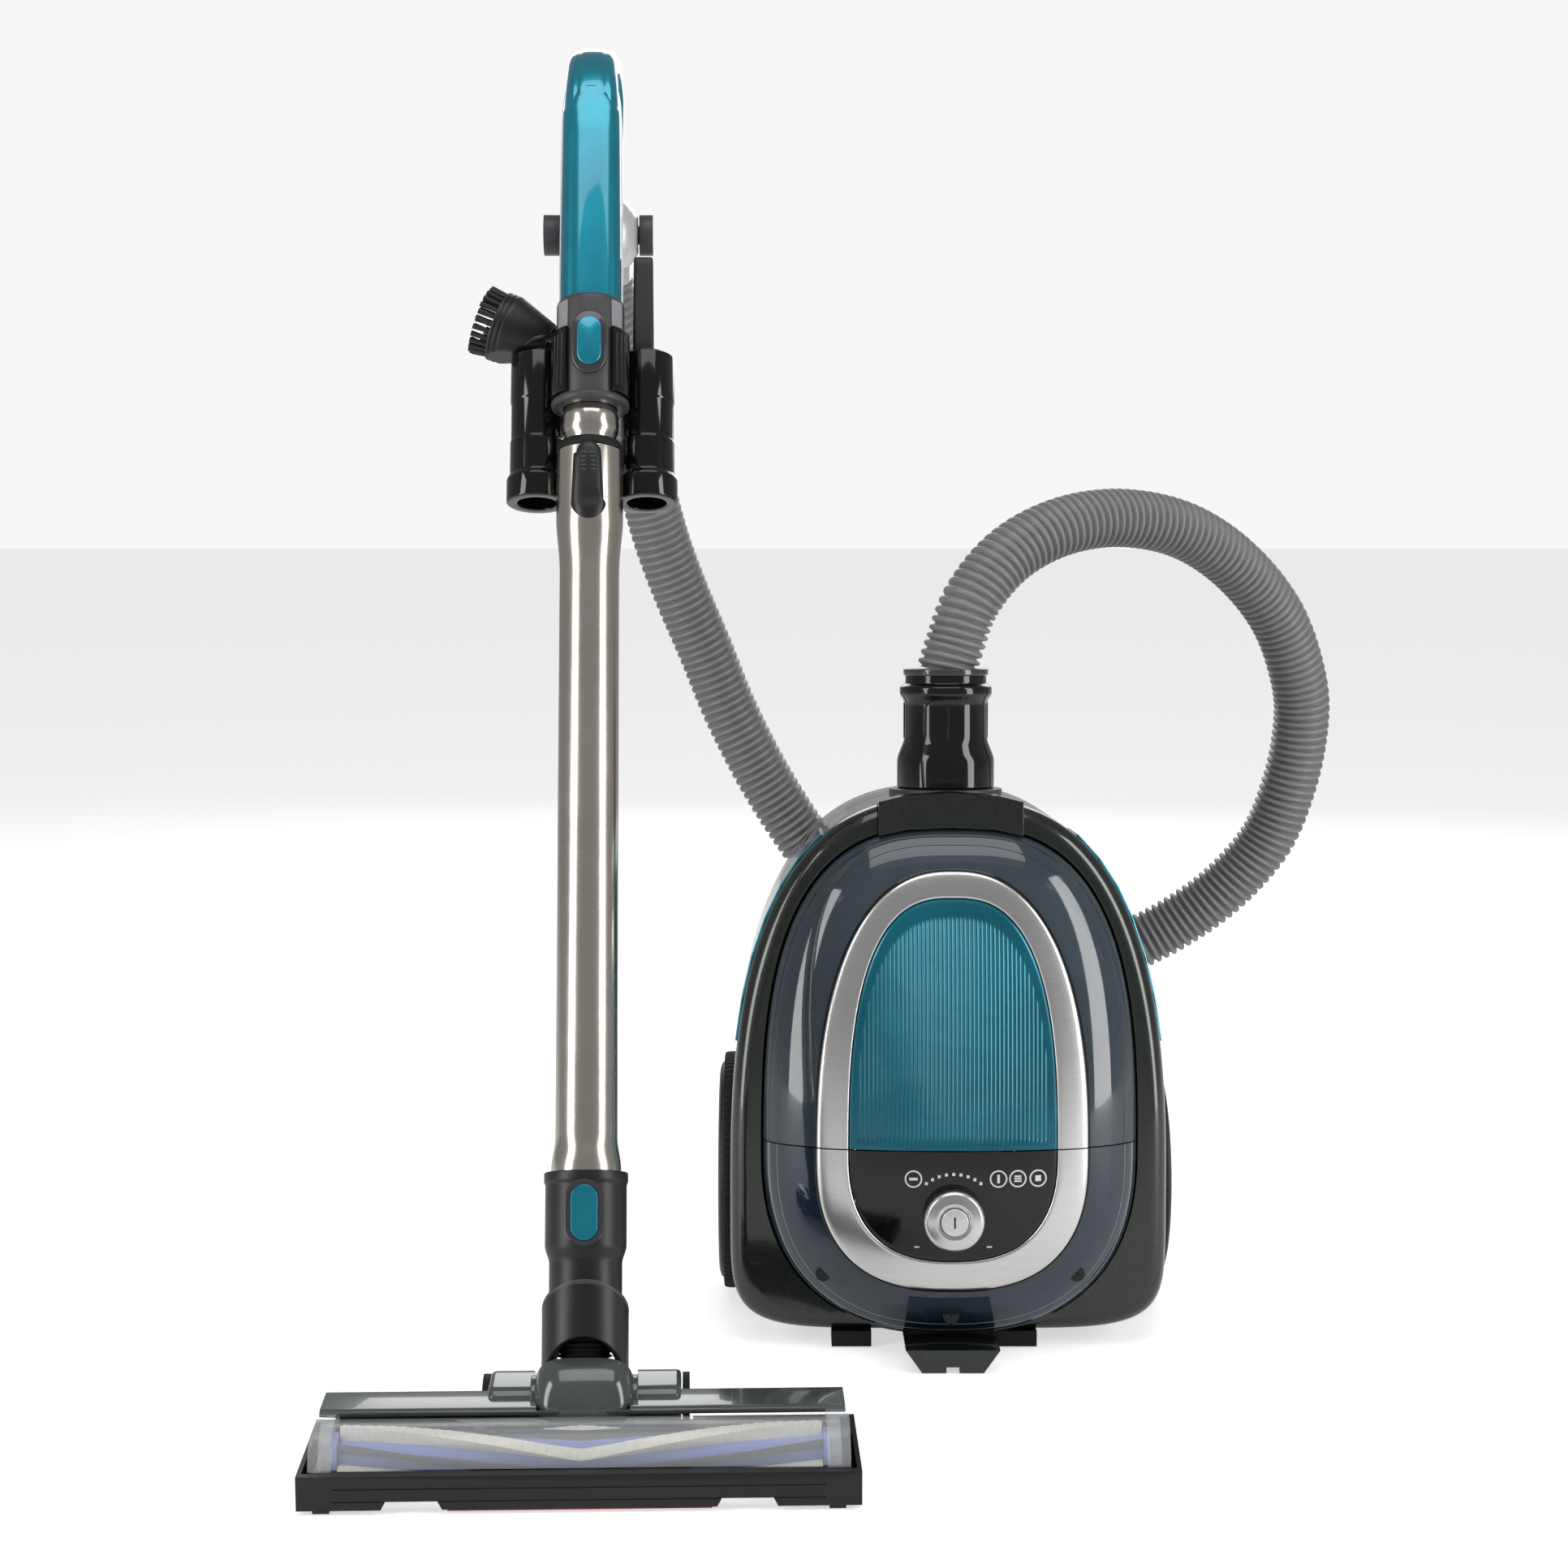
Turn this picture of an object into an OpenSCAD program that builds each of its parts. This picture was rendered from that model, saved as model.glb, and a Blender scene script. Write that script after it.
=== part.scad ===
// Canister vacuum cleaner, stored upright beside its wand, hose and floor nozzle.
// Units are millimetres, Z is up, and the floor is Z = 0.

/* [Canister] */
// Widest width of the canister casing
can_w = 274; // [268:2:278]
// Height of the casing's top end along the canister's own axis
can_top = 346; // [344:1:348]
// Depth from the casing's front face to its underside
can_depth = 172; // [170:1:174]
// How far the stored canister leans back
can_lean = 5; // [4.5:0.5:5.5]
// Wall of the casing shells
wall = 4; // [3.5:0.5:4.5]
// How far the clear cover bulges in front of the casing
crown = 45; // [43:1:46]
// Radius of the two large wheels
wheel_r = 78; // [76:1:78]

/* [Hose] */
// Outer diameter of the hose
hose_d = 40; // [38:1:41]

/* [Wand] */
// How far the wand leans back
wand_lean = 21.25; // [21:0.25:21.5]
// Turn of the wand and nozzle about the vertical
wand_yaw = 1.7; // [1.5:0.1:2]
// Diameter of the outer tube
tube_d = 35.6; // [35:0.2:36]
// Diameter of the inner tube
inner_d = 31.6; // [31:0.2:31.8]
// Diameter of the outer tube's sleeve
sleeve_d = 40.2; // [40:0.2:40.4]

/* [Nozzle] */
// Overall width of the floor nozzle
nozzle_w = 303; // [300:1:306]
// Radius of the brush roll over its bristles
brush_r = 17.5; // [16.5:0.5:17.5]
// Radius of the dome over the neck pivot
dome_r = 28; // [28:0.5:28.5]

/* [Hidden] */
$fn = 48;
fine = 32;             // facets of a hull's own children
gap = 0.6;             // free play between separate bodies
skin_front = 0.4;      // room left for the painted skin at the front
skin_back = 0.5;       // and at the back
fit = 0.05;            // radial clearance of a running fit
big = 600;             // larger than the object, for cutting

// Layout on the floor: the origin is the bottom centre of the whole cleaner without its hose.
place = [-4.6, 0, 0];
can_at = place + [115, 25, 0];
wand_at = place + [-100, -160, 34.5];

// Casing: an egg outline with square-ish lower corners
body_mid = 100;        // height at which the casing is widest
body_low = 10;         // height of the casing's lower edge
split_y = 88;          // where the front frame meets the rear base
cover_w = 233;         // width of the clear cover
cover_mid = 125;
cover_up = 202;
cover_down = 114.5;
seam_z = 132.5;        // joint line between the dirt bin and the fixed lower cover
bulge = [[0, 1], [0.31, 0.955], [0.62, 0.8], [0.84, 0.567], [0.975, 0.25]]; // depth, scale
knob_z = 91.5;
knob_r = 18.8;
button_r = 8.6;
inlet_y = 55;
inlet_r = 25;
wheel_y = 112;
wheel_z = 92;
axle_r = 6;
wheel_in = 127;        // inner face of a large wheel
wheel_out = 146;
caster_z = 285;
caster_r = 13;
door_w = 109;
door_z = [29, 121];
door_pin_z = 26.5;
cuff_top = 422;

// Wand and handle, heights measured along the wand from the neck pivot
hub_at = [3, 68, 734];
hub_r = 27;
hub_turn = 38.4;       // lean of the hub's hose collar
hub_collar = 30;       // its end, measured from the hub's centre
cap_r = 13;
flange_z = 588;
house_top = 657;
grip_top = 800;
holder_y = 22;
holder_x = [-33, 34];
holder_z = [536, 560, 631];
holder_r = 16.9;
inner_z = [192, 645];
sleeve_z = 513;
outer_top = 562;
neck_z = [40, 72];
elbow_r = 24.6;
brush_at = [-45, 20];  // y and z of the brush roll's axis in the nozzle
core_r = 10;
motor_at = [4, 18];    // y and z of the brush motor's axis
nwheel_at = [26, 20];
pod_x = [29, 54];

// Hose route: out of the cuff, over in an arch, down behind the canister, up to the handle
hose_points = [[120, 118, 432], [132, 122, 463], [157, 135, 491], [193, 155, 508],
    [235, 180, 512], [279, 205, 502], [318, 228, 477], [350, 248, 440], [368, 262, 395],
    [371, 270, 360], [365, 277, 320], [351, 283, 281], [324, 288, 247], [291, 292, 221],
    [257, 294, 203], [211, 296, 187], [165, 296, 180], [118, 295, 188], [72, 292, 218],
    [31, 288, 273], [0, 283, 322], [-25, 275, 372], [-43, 266, 418], [-58, 256, 455],
    [-71, 245, 492], [-81, 232, 531], [-90, 216, 574], [-98, 200, 612], [-103, 187, 640]];
hose_start = [115, 116.6, 415.7];
hose_end = [-105.3, 178.3, 664.7];

// ---------- shapes ----------
function sgn_pow(v, e) = sign(v) * pow(abs(v), e);
// Egg: a superellipse with its own height and squareness above and below its widest line
function egg(a, up, n_up, down, n_down, mid) =
    [for (t = [0:7.5:359])
        let (n = sin(t) >= 0 ? n_up : n_down, b = sin(t) >= 0 ? up : down)
        [a * sgn_pow(cos(t), 2 / n), mid + b * sgn_pow(sin(t), 2 / n)]];
function ellipse(a, b, steps = 36) = [for (i = [0:steps - 1]) [a * cos(i * 360 / steps), b * sin(i * 360 / steps)]];

module body_outline(inset = 0)
    polygon(egg(can_w / 2 - inset, can_top - body_mid - inset, 2.6,
                body_mid - body_low - inset, 6, body_mid));
module cover_outline(k = 1, grow = 0)
    polygon(egg(cover_w / 2 * k + grow, cover_up * k + grow, 2.8,
                cover_down * k + grow, 2.4, cover_mid));
module ring_outer() polygon(egg(83.5, 172, 2.4, 86, 2.6, 130));
module ring_inner(inset = 0) polygon(egg(63.2 - inset, 155 - inset, 2.7, 66 - inset, 2.5, 130));
// Slab: a flat outline in X and Z given a thickness from y0 to y1
module slab(y0, y1) translate([0, y1, 0]) rotate([90, 0, 0]) linear_extrude(y1 - y0) children();
module above(z) translate([-big / 2, -big / 2, z]) cube(big);
module below(z) translate([-big / 2, -big / 2, z - big]) cube(big);
module rod_x(x0, x1, r, y, z) translate([x0, y, z]) rotate([0, 90, 0]) cylinder(h = x1 - x0, r = r);
module rod_y(y0, y1, r, x, z) translate([x, y0, z]) rotate([-90, 0, 0]) cylinder(h = y1 - y0, r = r);
module block(x, y, z) translate([x[0], y[0], z[0]]) cube([x[1] - x[0], y[1] - y[0], z[1] - z[0]]);
module both_sides() { children(); mirror([1, 0, 0]) children(); }

module can_frame() translate(can_at) rotate([-can_lean, 0, 0]) children();
module wand_frame() translate(wand_at) rotate([0, 0, wand_yaw]) rotate([-wand_lean, 0, 0]) children();
module nozzle_frame() translate([wand_at.x, wand_at.y, 0]) rotate([0, 0, wand_yaw]) children();
// Everything nearer the floor than h, in the canister's own leaning frame
module floor_cut(h = 0) rotate([can_lean, 0, 0]) below(h);

// Bulging front of the clear cover: the cover outline shrinking as it comes forward
module dome(o = 0, back = 0) hull() {
    slab(-0.2, back) cover_outline(1, o);
    for (i = [1:len(bulge) - 1])
        slab(-crown * bulge[i][0] - o - 0.2, -crown * bulge[i][0] - o) cover_outline(bulge[i][1], o);
}
module cover_shell(t) difference() { dome(0); dome(-t, 1); }
module skin(t) difference() { dome(t); dome(0, 1); }

// ---------- canister ----------
module wheel_wall() both_sides() rod_x(wheel_in - 6, can_w / 2, wheel_r + 5, wheel_y, wheel_z);
module wheel_room() both_sides() rod_x(wheel_in - 1, big / 2, wheel_r + 1.5, wheel_y, wheel_z);
module inlet_boss() translate([0, inlet_y, 333]) cylinder(h = 12, r = 40);
module inlet_room() {
    translate([0, inlet_y, 300]) cylinder(h = 90, r = inlet_r + 0.2);
    translate([0, inlet_y, 341]) cylinder(h = 50, r = 36.3);
}
module latch_zone(grow = 0) intersection() {
    slab(-8 - grow, 16 + grow) difference() {
        body_outline(-3 - 20 * grow);
        cover_outline(1, gap - grow);
    }
    translate([-45 - grow, -30, 300]) cube([90 + 2 * grow, 90, 90]);
}

module base_casing() color([0.16, 0.18, 0.16]) can_frame() {
    base_shell();
    axle_stubs();
}
module base_shell() difference() {
    union() {
        difference() {
            union() {
                slab(split_y, can_depth - 12) body_outline();
                slab(can_depth - 12, can_depth - skin_back) body_outline(12);
            }
            difference() {
                slab(split_y - 1, can_depth - wall) body_outline(wall + 4);
                floor_cut(12);
            }
        }
        intersection() { slab(split_y, can_depth - 12) body_outline(); wheel_wall(); }
        intersection() { slab(split_y, can_depth - 12) body_outline(); inlet_boss(); }
        rod_y(can_depth - 20, can_depth - 1, 33, 0, caster_z);
        rod_y(can_depth - 36, can_depth - 19, 10, 0, caster_z);
        both_sides() block([door_w / 2 + 1, door_w / 2 + 9], [can_depth - 12, can_depth - 1], [18, 36]);
    }
    wheel_room();
    inlet_room();
    floor_cut(4);
    rod_y(can_depth - 12, can_depth + 9, 30, 0, caster_z);
    rod_y(can_depth - 40, can_depth, 5 + fit, 0, caster_z);
    block([-door_w / 2 - 0.5, door_w / 2 + 0.5], [can_depth - 30, can_depth + 9], [21, door_z[1] + 0.5]);
    rod_x(-door_w / 2 - 5, door_w / 2 + 5, 2.5 + fit, can_depth - 2.5, door_pin_z);
}

module axle_stubs() both_sides() rod_x(wheel_in - 5, wheel_out - 3, axle_r, wheel_y, wheel_z);

module frame_casing() color([0.16, 0.18, 0.16]) can_frame() difference() {
    union() {
        difference() {
            union() {
                slab(skin_front, 10) body_outline(10);
                slab(10, split_y) body_outline();
            }
            slab(wall, split_y + 1) body_outline(wall + 4);
            slab(-1, wall + 1) cover_outline(1, gap);
        }
        intersection() {
            slab(wall, split_y - 0.2) body_outline(wall);
            block([-big / 2, big / 2], [0, split_y - 0.2], [127, 131]);
        }
        intersection() { slab(8, split_y) body_outline(); wheel_wall(); }
        intersection() { slab(8, split_y) body_outline(); inlet_boss(); }
    }
    wheel_room();
    inlet_room();
    latch_zone(0.5);
}

module side_strips() color([0, 0.55, 0.65]) can_frame() intersection() {
    slab(12, 74) difference() { body_outline(-1.6); body_outline(0); }
    both_sides() block([72, 200], [0, 100], [192, 322]);
}

module stand_feet() color([0.05, 0.05, 0.05]) can_frame() difference() {
    union() {
        for (x = [-61, 43]) block([x - 12.5, x + 12.5], [2, 24], [-1, 10]);
        for (x = [-61, 61]) block([x - 14, x + 14], [128, 158], [4, 20]);
    }
    floor_cut(0);
    difference() {
        block([-100, 100], [100, 170], [0, 60]);
        floor_cut(3.9);
    }
}

module tail_bracket() color([0.16, 0.18, 0.16]) can_frame() difference() {
    slab(-46, 12) polygon([[-29, 10], [-24, 3], [-19, -4], [-14, -9], [14, -9], [19, -4], [24, 3], [29, 10]]);
    slab(-42, 8) polygon([[-22, 6.5], [-15, -5], [15, -5], [22, 6.5]]);
    block([-4, 4], [-50, -20], [-20, -0.5]);
    floor_cut(0);
}

module casing_screws() color("silver") can_frame()
    for (p = [[-85, 150], [85, 150], [-60, 250], [60, 250]])
        translate([p[0], can_depth - 0.2, p[1]]) rotate([-90, 0, 0]) difference() {
            cylinder(h = 1.6, r = 3.5);
            for (a = [0, 90]) rotate([0, 0, a]) translate([-2.4, -0.5, 0.7]) cube([4.8, 1, 2]);
        }

module lower_cover() color([0.25, 0.32, 0.38, 0.6]) can_frame() difference() {
    cover_shell(3);
    above(seam_z - gap / 2);
    rod_y(-80, 10, 6 + fit, 0, knob_z);
}
module lower_bezel() color([0.8, 0.8, 0.8]) can_frame() intersection() {
    skin(2.2);
    slab(-80, 0) difference() { ring_outer(); ring_inner(); }
    below(seam_z - gap / 2);
}
module control_panel() color([0.04, 0.04, 0.04]) can_frame() difference() {
    intersection() {
        skin(1.6);
        slab(-80, 0) ring_inner(0.3);
        below(seam_z - gap / 2);
    }
    rod_y(-80, 10, 6 + fit, 0, knob_z);
}
module control_board() color([0.1, 0.35, 0.15]) can_frame() {
    block([-34, 34], [-25, -23.4], [62, 124]);
    for (x = [-24, -8, 12, 26]) block([x - 4, x + 4], [-29, -25], [106, 114]);
}

module knob() color([0.75, 0.75, 0.75]) can_frame() difference() {
    union() {
        rod_y(-crown - 14, -crown - 1.1, knob_r, 0, knob_z);
        rod_y(-crown - 4, -26, 6, 0, knob_z);
    }
    rod_y(-crown - 20, -crown - 6, button_r + 0.3, 0, knob_z);
}
module power_button() color([0.8, 0.8, 0.8]) can_frame() difference() {
    rod_y(-crown - 15.4, -crown - 9, button_r, 0, knob_z);
    block([-0.8, 0.8], [-crown - 18, -crown - 14.6], [knob_z - 5, knob_z + 5]);
}

module hose_inlet() color([0.06, 0.06, 0.06]) can_frame() translate([0, inlet_y, 0]) difference() {
    union() {
        translate([0, 0, 329]) cylinder(h = 37, r = inlet_r);
        translate([0, 0, 341]) cylinder(h = 8, r = 36);
    }
    translate([0, 0, 300]) cylinder(h = 90, r = inlet_r - 3);
}

module motor() color([0.4, 0.4, 0.42]) can_frame() translate([0, 75, 0]) difference() {
    union() {
        translate([0, 0, 40]) cylinder(h = 68, r = 42);
        translate([0, 0, 30]) cylinder(h = 10, r = 26);
        translate([0, 0, 108]) cylinder(h = 4, r = 14);
    }
    translate([0, 0, 80]) cylinder(h = 60, r = 4 + fit);
}
module fan_wheel() color([0.7, 0.7, 0.72]) can_frame() translate([0, 75, 0]) {
    translate([0, 0, 84]) cylinder(h = 40, r = 4);
    translate([0, 0, 114]) cylinder(h = 2, r = 38);
    for (a = [0:40:359]) rotate([0, 0, a]) translate([6, -0.8, 116]) cube([30, 1.6, 7]);
    translate([0, 0, 116]) cylinder(h = 7, r = 8);
}
module battery_pack() color([0.1, 0.1, 0.12]) can_frame() {
    block([-48, 48], [126, 160], [40, 116]);
    block([-20, 20], [122, 126], [80, 110]);
}
module battery_door() color([0.12, 0.13, 0.12]) can_frame() difference() {
    union() {
        block([-door_w / 2, door_w / 2], [can_depth - 4.5, can_depth], door_z);
        block([-30, 30], [can_depth - 4.5, can_depth - 0.5], [door_pin_z, door_z[0] + 1]);
        rod_x(-door_w / 2 - 4.5, door_w / 2 + 4.5, 2.5, can_depth - 2.5, door_pin_z);
    }
    for (z = [100:5:112]) block([-18, 18], [can_depth - 1, can_depth + 1], [z, z + 2]);
}
module exhaust_filter() color([0.85, 0.85, 0.8]) can_frame()
    for (s = [-1, 1]) for (z = [46:8:102])
        block(s > 0 ? [62, 96] : [-96, -62], [96, 116], [z, z + 6]);

module bin_shell() color([0.6, 0.65, 0.7, 0.5]) can_frame() difference() {
    intersection() {
        slab(0.2, 80) cover_outline(1, -4);
        above(seam_z + 1.5);
    }
    intersection() {
        slab(-1, 77.5) cover_outline(1, -6.5);
        above(seam_z + 4);
    }
    translate([0, inlet_y, 300]) cylinder(h = 60, r = 20);
    translate([0, 40, 100]) cylinder(h = 50, r = 30);
}
module bin_cover() color([0.25, 0.32, 0.38, 0.6]) can_frame() difference() {
    cover_shell(3);
    below(seam_z + gap / 2);
}
module bin_bezel() color([0.8, 0.8, 0.8]) can_frame() intersection() {
    skin(2.2);
    slab(-80, 0) difference() { ring_outer(); ring_inner(); }
    above(seam_z + gap / 2);
}
module bin_panel() color([0, 0.45, 0.56]) can_frame() intersection() {
    skin(1.6);
    slab(-80, 0) ring_inner(0.3);
    above(seam_z + gap / 2);
}
module cyclone_cone() color([0.3, 0.32, 0.34]) can_frame() translate([0, 40, 0])
    rotate_extrude() polygon([[18, 152], [20, 152], [36, 270], [36, 296], [34, 296], [34, 270], [18, 153]]);
module pre_filter() color([0.9, 0.9, 0.85]) can_frame() translate([0, 40, 0]) difference() {
    translate([0, 0, 137]) cylinder(h = 14, r = 36);
    translate([0, 0, 130]) cylinder(h = 15, r = 26);
}
module bin_latch() color([0.14, 0.16, 0.14]) can_frame() latch_zone();

module big_wheel() difference() {
    union() {
        rod_x(wheel_in, wheel_out - 3, wheel_r, wheel_y, wheel_z);
        rod_x(wheel_out - 4, wheel_out, wheel_r - 8, wheel_y, wheel_z);
    }
    rod_x(wheel_in - 5, wheel_out - 2, axle_r + fit, wheel_y, wheel_z);
}
module wheel_right() color([0.05, 0.05, 0.05]) can_frame() big_wheel();
module wheel_left() color([0.05, 0.05, 0.05]) can_frame() mirror([1, 0, 0]) big_wheel();

module caster_fork() color([0.2, 0.2, 0.2]) can_frame() {
    rod_y(can_depth - 34, can_depth - 11, 5, 0, caster_z);
    rod_y(can_depth - 11.5, can_depth - 8.6, 24, 0, caster_z);
    both_sides() block([10.6, 13.6], [can_depth - 8.7, can_depth + 9], [caster_z - 16, caster_z - 4]);
    rod_x(-12, 12, 2.5, can_depth + 5, caster_z - 10);
}
module caster_wheel() color([0.1, 0.1, 0.1]) can_frame() difference() {
    union() {
        rod_x(-10, 10, caster_r - 1, can_depth + 5, caster_z - 10);
        rod_x(-8, 8, caster_r, can_depth + 5, caster_z - 10);
    }
    rod_x(-20, 20, 2.5 + fit, can_depth + 5, caster_z - 10);
}

// ---------- hose ----------
module hose_cuff() color([0.05, 0.05, 0.05]) can_frame() translate([0, inlet_y, 0])
    rotate_extrude() polygon([[inlet_r + 0.2, 349.2], [31, 349.2], [31, 370], [26.2, 380], [26.2, 405],
        [29.5, 409], [29.5, 415], [25.8, 416], [25.8, cuff_top], [17, cuff_top], [17, 368],
        [inlet_r + 0.2, 368]]);

function unit(v) = v / norm(v);
function cat(p, t) = let (a = p[0], b = p[1], c = p[2], d = p[3])
    0.5 * (2 * b + (c - a) * t + (2 * a - 5 * b + 4 * c - d) * t * t + (3 * b - a - 3 * c + d) * t * t * t);
hose_all = concat([hose_start], hose_points, [hose_end]);
last = len(hose_all) - 1;
ring_step = 2;         // rings to each stretch between two route points
function at_point(i) = hose_all[max(0, min(last, i))];
hose_path = [for (i = [0:last - 1], k = [0:ring_step - 1])
    cat([at_point(i - 1), at_point(i), at_point(i + 1), at_point(i + 2)], k / ring_step), hose_end];
rings = len(hose_path);
sides = 12;
function hose_dir(i) = i == 0 ? [0, sin(can_lean), cos(can_lean)]
    : i == rings - 1 ? unit(hose_path[i] - hose_path[i - 1])
    : unit(hose_path[i + 1] - hose_path[i - 1]);
function hose_ring(i) = let (d = hose_dir(i), u = unit(cross(d, [0.31, 0.95, 0.05])), v = cross(d, u))
    [for (k = [0:sides - 1]) place + hose_path[i]
        + hose_d / 2 * (cos(k * 360 / sides) * u + sin(k * 360 / sides) * v)];
module hose() color([0.45, 0.45, 0.46]) {
    points = [for (i = [0:rings - 1]) each hose_ring(i)];
    skin_faces = [for (i = [0:rings - 2], k = [0:sides - 1])
        let (a = i * sides + k, b = i * sides + (k + 1) % sides) each
        [[a, b, b + sides], [a, b + sides, a + sides]]];
    start = [[for (k = [sides - 1:-1:0]) k]];
    end = [[for (k = [0:sides - 1]) (rings - 1) * sides + k]];
    polyhedron(points, concat(start, skin_faces, end));
}

// ---------- handle ----------
module limb(a, b, y, z0, z1) translate([0, y, z0]) linear_extrude(z1 - z0) polygon(ellipse(a, b));
module front_limb(grow = 0) {
    hull() {
        limb(18.6 + grow, 13 + grow, 0, house_top + 0.3, house_top + 1);
        limb(17.8 + grow, 12.5 + grow, 0, grip_top - 12, grip_top - 11);
        limb(11 + grow, 8 + grow, 2, grip_top + 5, grip_top + 6);
    }
}
module handle_front() color([0, 0.6, 0.72]) wand_frame() difference() {
    intersection() { front_limb(); block([-30, 30], [-30, 3.8], [house_top, 900]); }
    front_core();
}
// Hollow of the grip's front limb
module front_core() block([-10, 10], [-8, 8], [house_top - 5, grip_top - 20]);
module handle_trim() color([0.82, 0.82, 0.82]) wand_frame() difference() {
    intersection() { front_limb(0.8); block([-30, 30], [4, 30], [house_top, 900]); }
    front_core();
}
// One bead of the loop's grip: half width w and half thickness t, at y and z
module bead(y, z, w, t) translate([0, y, z]) scale([w / t, 1, 1]) sphere(t, $fn = fine);
module handle_rear() color([0, 0.6, 0.72]) wand_frame() difference() {
    union() {
        hull() {
            bead(0, grip_top - 4, 15, 9);
            bead(44, 840, 18, 11);
        }
        hull() {
            bead(44, 840, 18, 11);
            bead(61, 832, 18, 11);
        }
        hull() {
            bead(61, 832, 18, 11);
            bead(68, 762, 17, 11);
        }
    }
    front_limb(1.2);
    translate(hub_at) sphere(hub_r + 0.2, $fn = 64);
}
module handle_housing() color([0.33, 0.33, 0.34]) wand_frame() difference() {
    union() {
        translate([0, 0, flange_z + 4]) cylinder(h = house_top - flange_z - 4, r = 20.8);
        translate([0, 0, flange_z]) cylinder(h = 4, r = 21.7);
        translate([0, -18, 0]) block([-10.5, 10.5], [-5, 4], [600, 648]);
    }
    translate([0, 0, flange_z - 5]) cylinder(h = 57.3, r = inner_d / 2 + 0.1);
    translate([0, 0, flange_z - 5]) cylinder(h = 90, r = 14.6);
    block([-8, 8], [-30, -17], [608, 641]);
}
module handle_hub() color([0.78, 0.78, 0.78]) wand_frame() difference() {
    union() {
        translate(hub_at) sphere(hub_r, $fn = 64);
        translate(hub_at) rotate([hub_turn, 0, 0]) translate([0, 0, -hub_collar]) cylinder(h = 14, r = 22.5);
        hull() {
            limb(13, 9, 28, house_top - 19, house_top - 17);
            translate([2, 58, 706]) sphere(12, $fn = fine);
        }
    }
    translate([0, 0, flange_z - 5]) cylinder(h = 90, r = 20.9);
    translate([0, 0, house_top - 25]) cylinder(h = 90, r = 22);
    hub_trunnion(-60, 60, 6);
    hub_trunnion(-60, -22.2, 30);
    hub_trunnion(28.2, 60, 30);
}
module hub_trunnion(x0, x1, r) rod_x(x0, x1, r, hub_at.y, hub_at.z);
module hub_caps() color([0.35, 0.35, 0.36]) wand_frame() {
    hub_trunnion(-33, -22.3, cap_r);
    hub_trunnion(28.3, 37, cap_r);
    hub_trunnion(-24, 30, 6 - 0.1);
}
module handle_button() color([0, 0.6, 0.72]) wand_frame() intersection() {
    slab(-24.8, -20) pill(7.5, 31);
    translate([0, 0, 600]) cylinder(h = 60, r = 25);
}
module pill(r, h) translate([0, 624.5]) hull() for (s = [-1, 1]) translate([0, s * (h / 2 - r)]) circle(r, $fn = fine);

module tool_holder() color([0.07, 0.065, 0.06]) wand_frame() difference() {
    union() {
        for (x = holder_x) translate([x, holder_y, 0]) {
            translate([0, 0, holder_z[0]]) cylinder(h = holder_z[1] - holder_z[0] - 8, r = 18.8);
            translate([0, 0, holder_z[1] - 8]) cylinder(h = 8, r1 = 18.8, r2 = holder_r);
            translate([0, 0, holder_z[1]]) cylinder(h = holder_z[2] - holder_z[1], r = holder_r);
        }
        translate([0, 0, 594]) cylinder(h = 42, r = 24);
        block([-34, 34], [14, 26], [594, 625]);
    }
    for (x = holder_x) translate([x, holder_y, 500]) cylinder(h = 200, r = 12);
    translate([0, 0, 500]) cylinder(h = 93, r = 21.8);
    translate([0, 0, 590]) cylinder(h = 60, r = 20.9);
    block([-14.5, 14.5], [-30, -5], [580, 660]);
}
module crevice_tool() color([0.09, 0.075, 0.065]) wand_frame() translate([holder_x[1], holder_y, 0]) difference() {
    union() {
        translate([0, 0, 548]) cylinder(h = 84, r = 11.6);
        block([-8.5, 4.5], [-9, 9], [631.6, 702]);
    }
    translate([0, 0, 540]) cylinder(h = 88, r = 9.7);
    block([-7, 3], [-7.5, 7.5], [620, 720]);
    block([-20, 20], [-12, -4], [696, 720]);
}
// Dusting brush: a neck in the holder and a cone turned to the left
module brush_head() translate([holder_x[0] + 3, holder_y, 641]) rotate([0, -68, 0]) children();
module dusting_brush() color([0.08, 0.075, 0.07]) wand_frame() difference() {
    union() {
        translate([holder_x[0], holder_y, 600]) cylinder(h = 34, r = 11.6);
        translate([holder_x[0], holder_y, 631.5]) cylinder(h = 7, r = 13.5);
        intersection() {
            brush_head() {
                translate([0, 0, -4]) cylinder(h = 26, r1 = 13, r2 = 21.6);
                translate([0, 0, 22]) cylinder(h = 8.5, r = 21.9);
            }
            block([-90, 0], [-10, 60], [631.6, 690]);
        }
    }
    translate([holder_x[0], holder_y, 590]) cylinder(h = 52, r = 9.5);
    brush_head() translate([0, 0, 12]) cylinder(h = 30, r1 = 11, r2 = 17.5);
}
module brush_tufts() color([0.03, 0.03, 0.03]) wand_frame() brush_head()
    for (a = [0:18:359]) rotate([0, 0, a]) translate([19.2, 0, 26]) cylinder(h = 16, r = 1.4);

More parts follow.
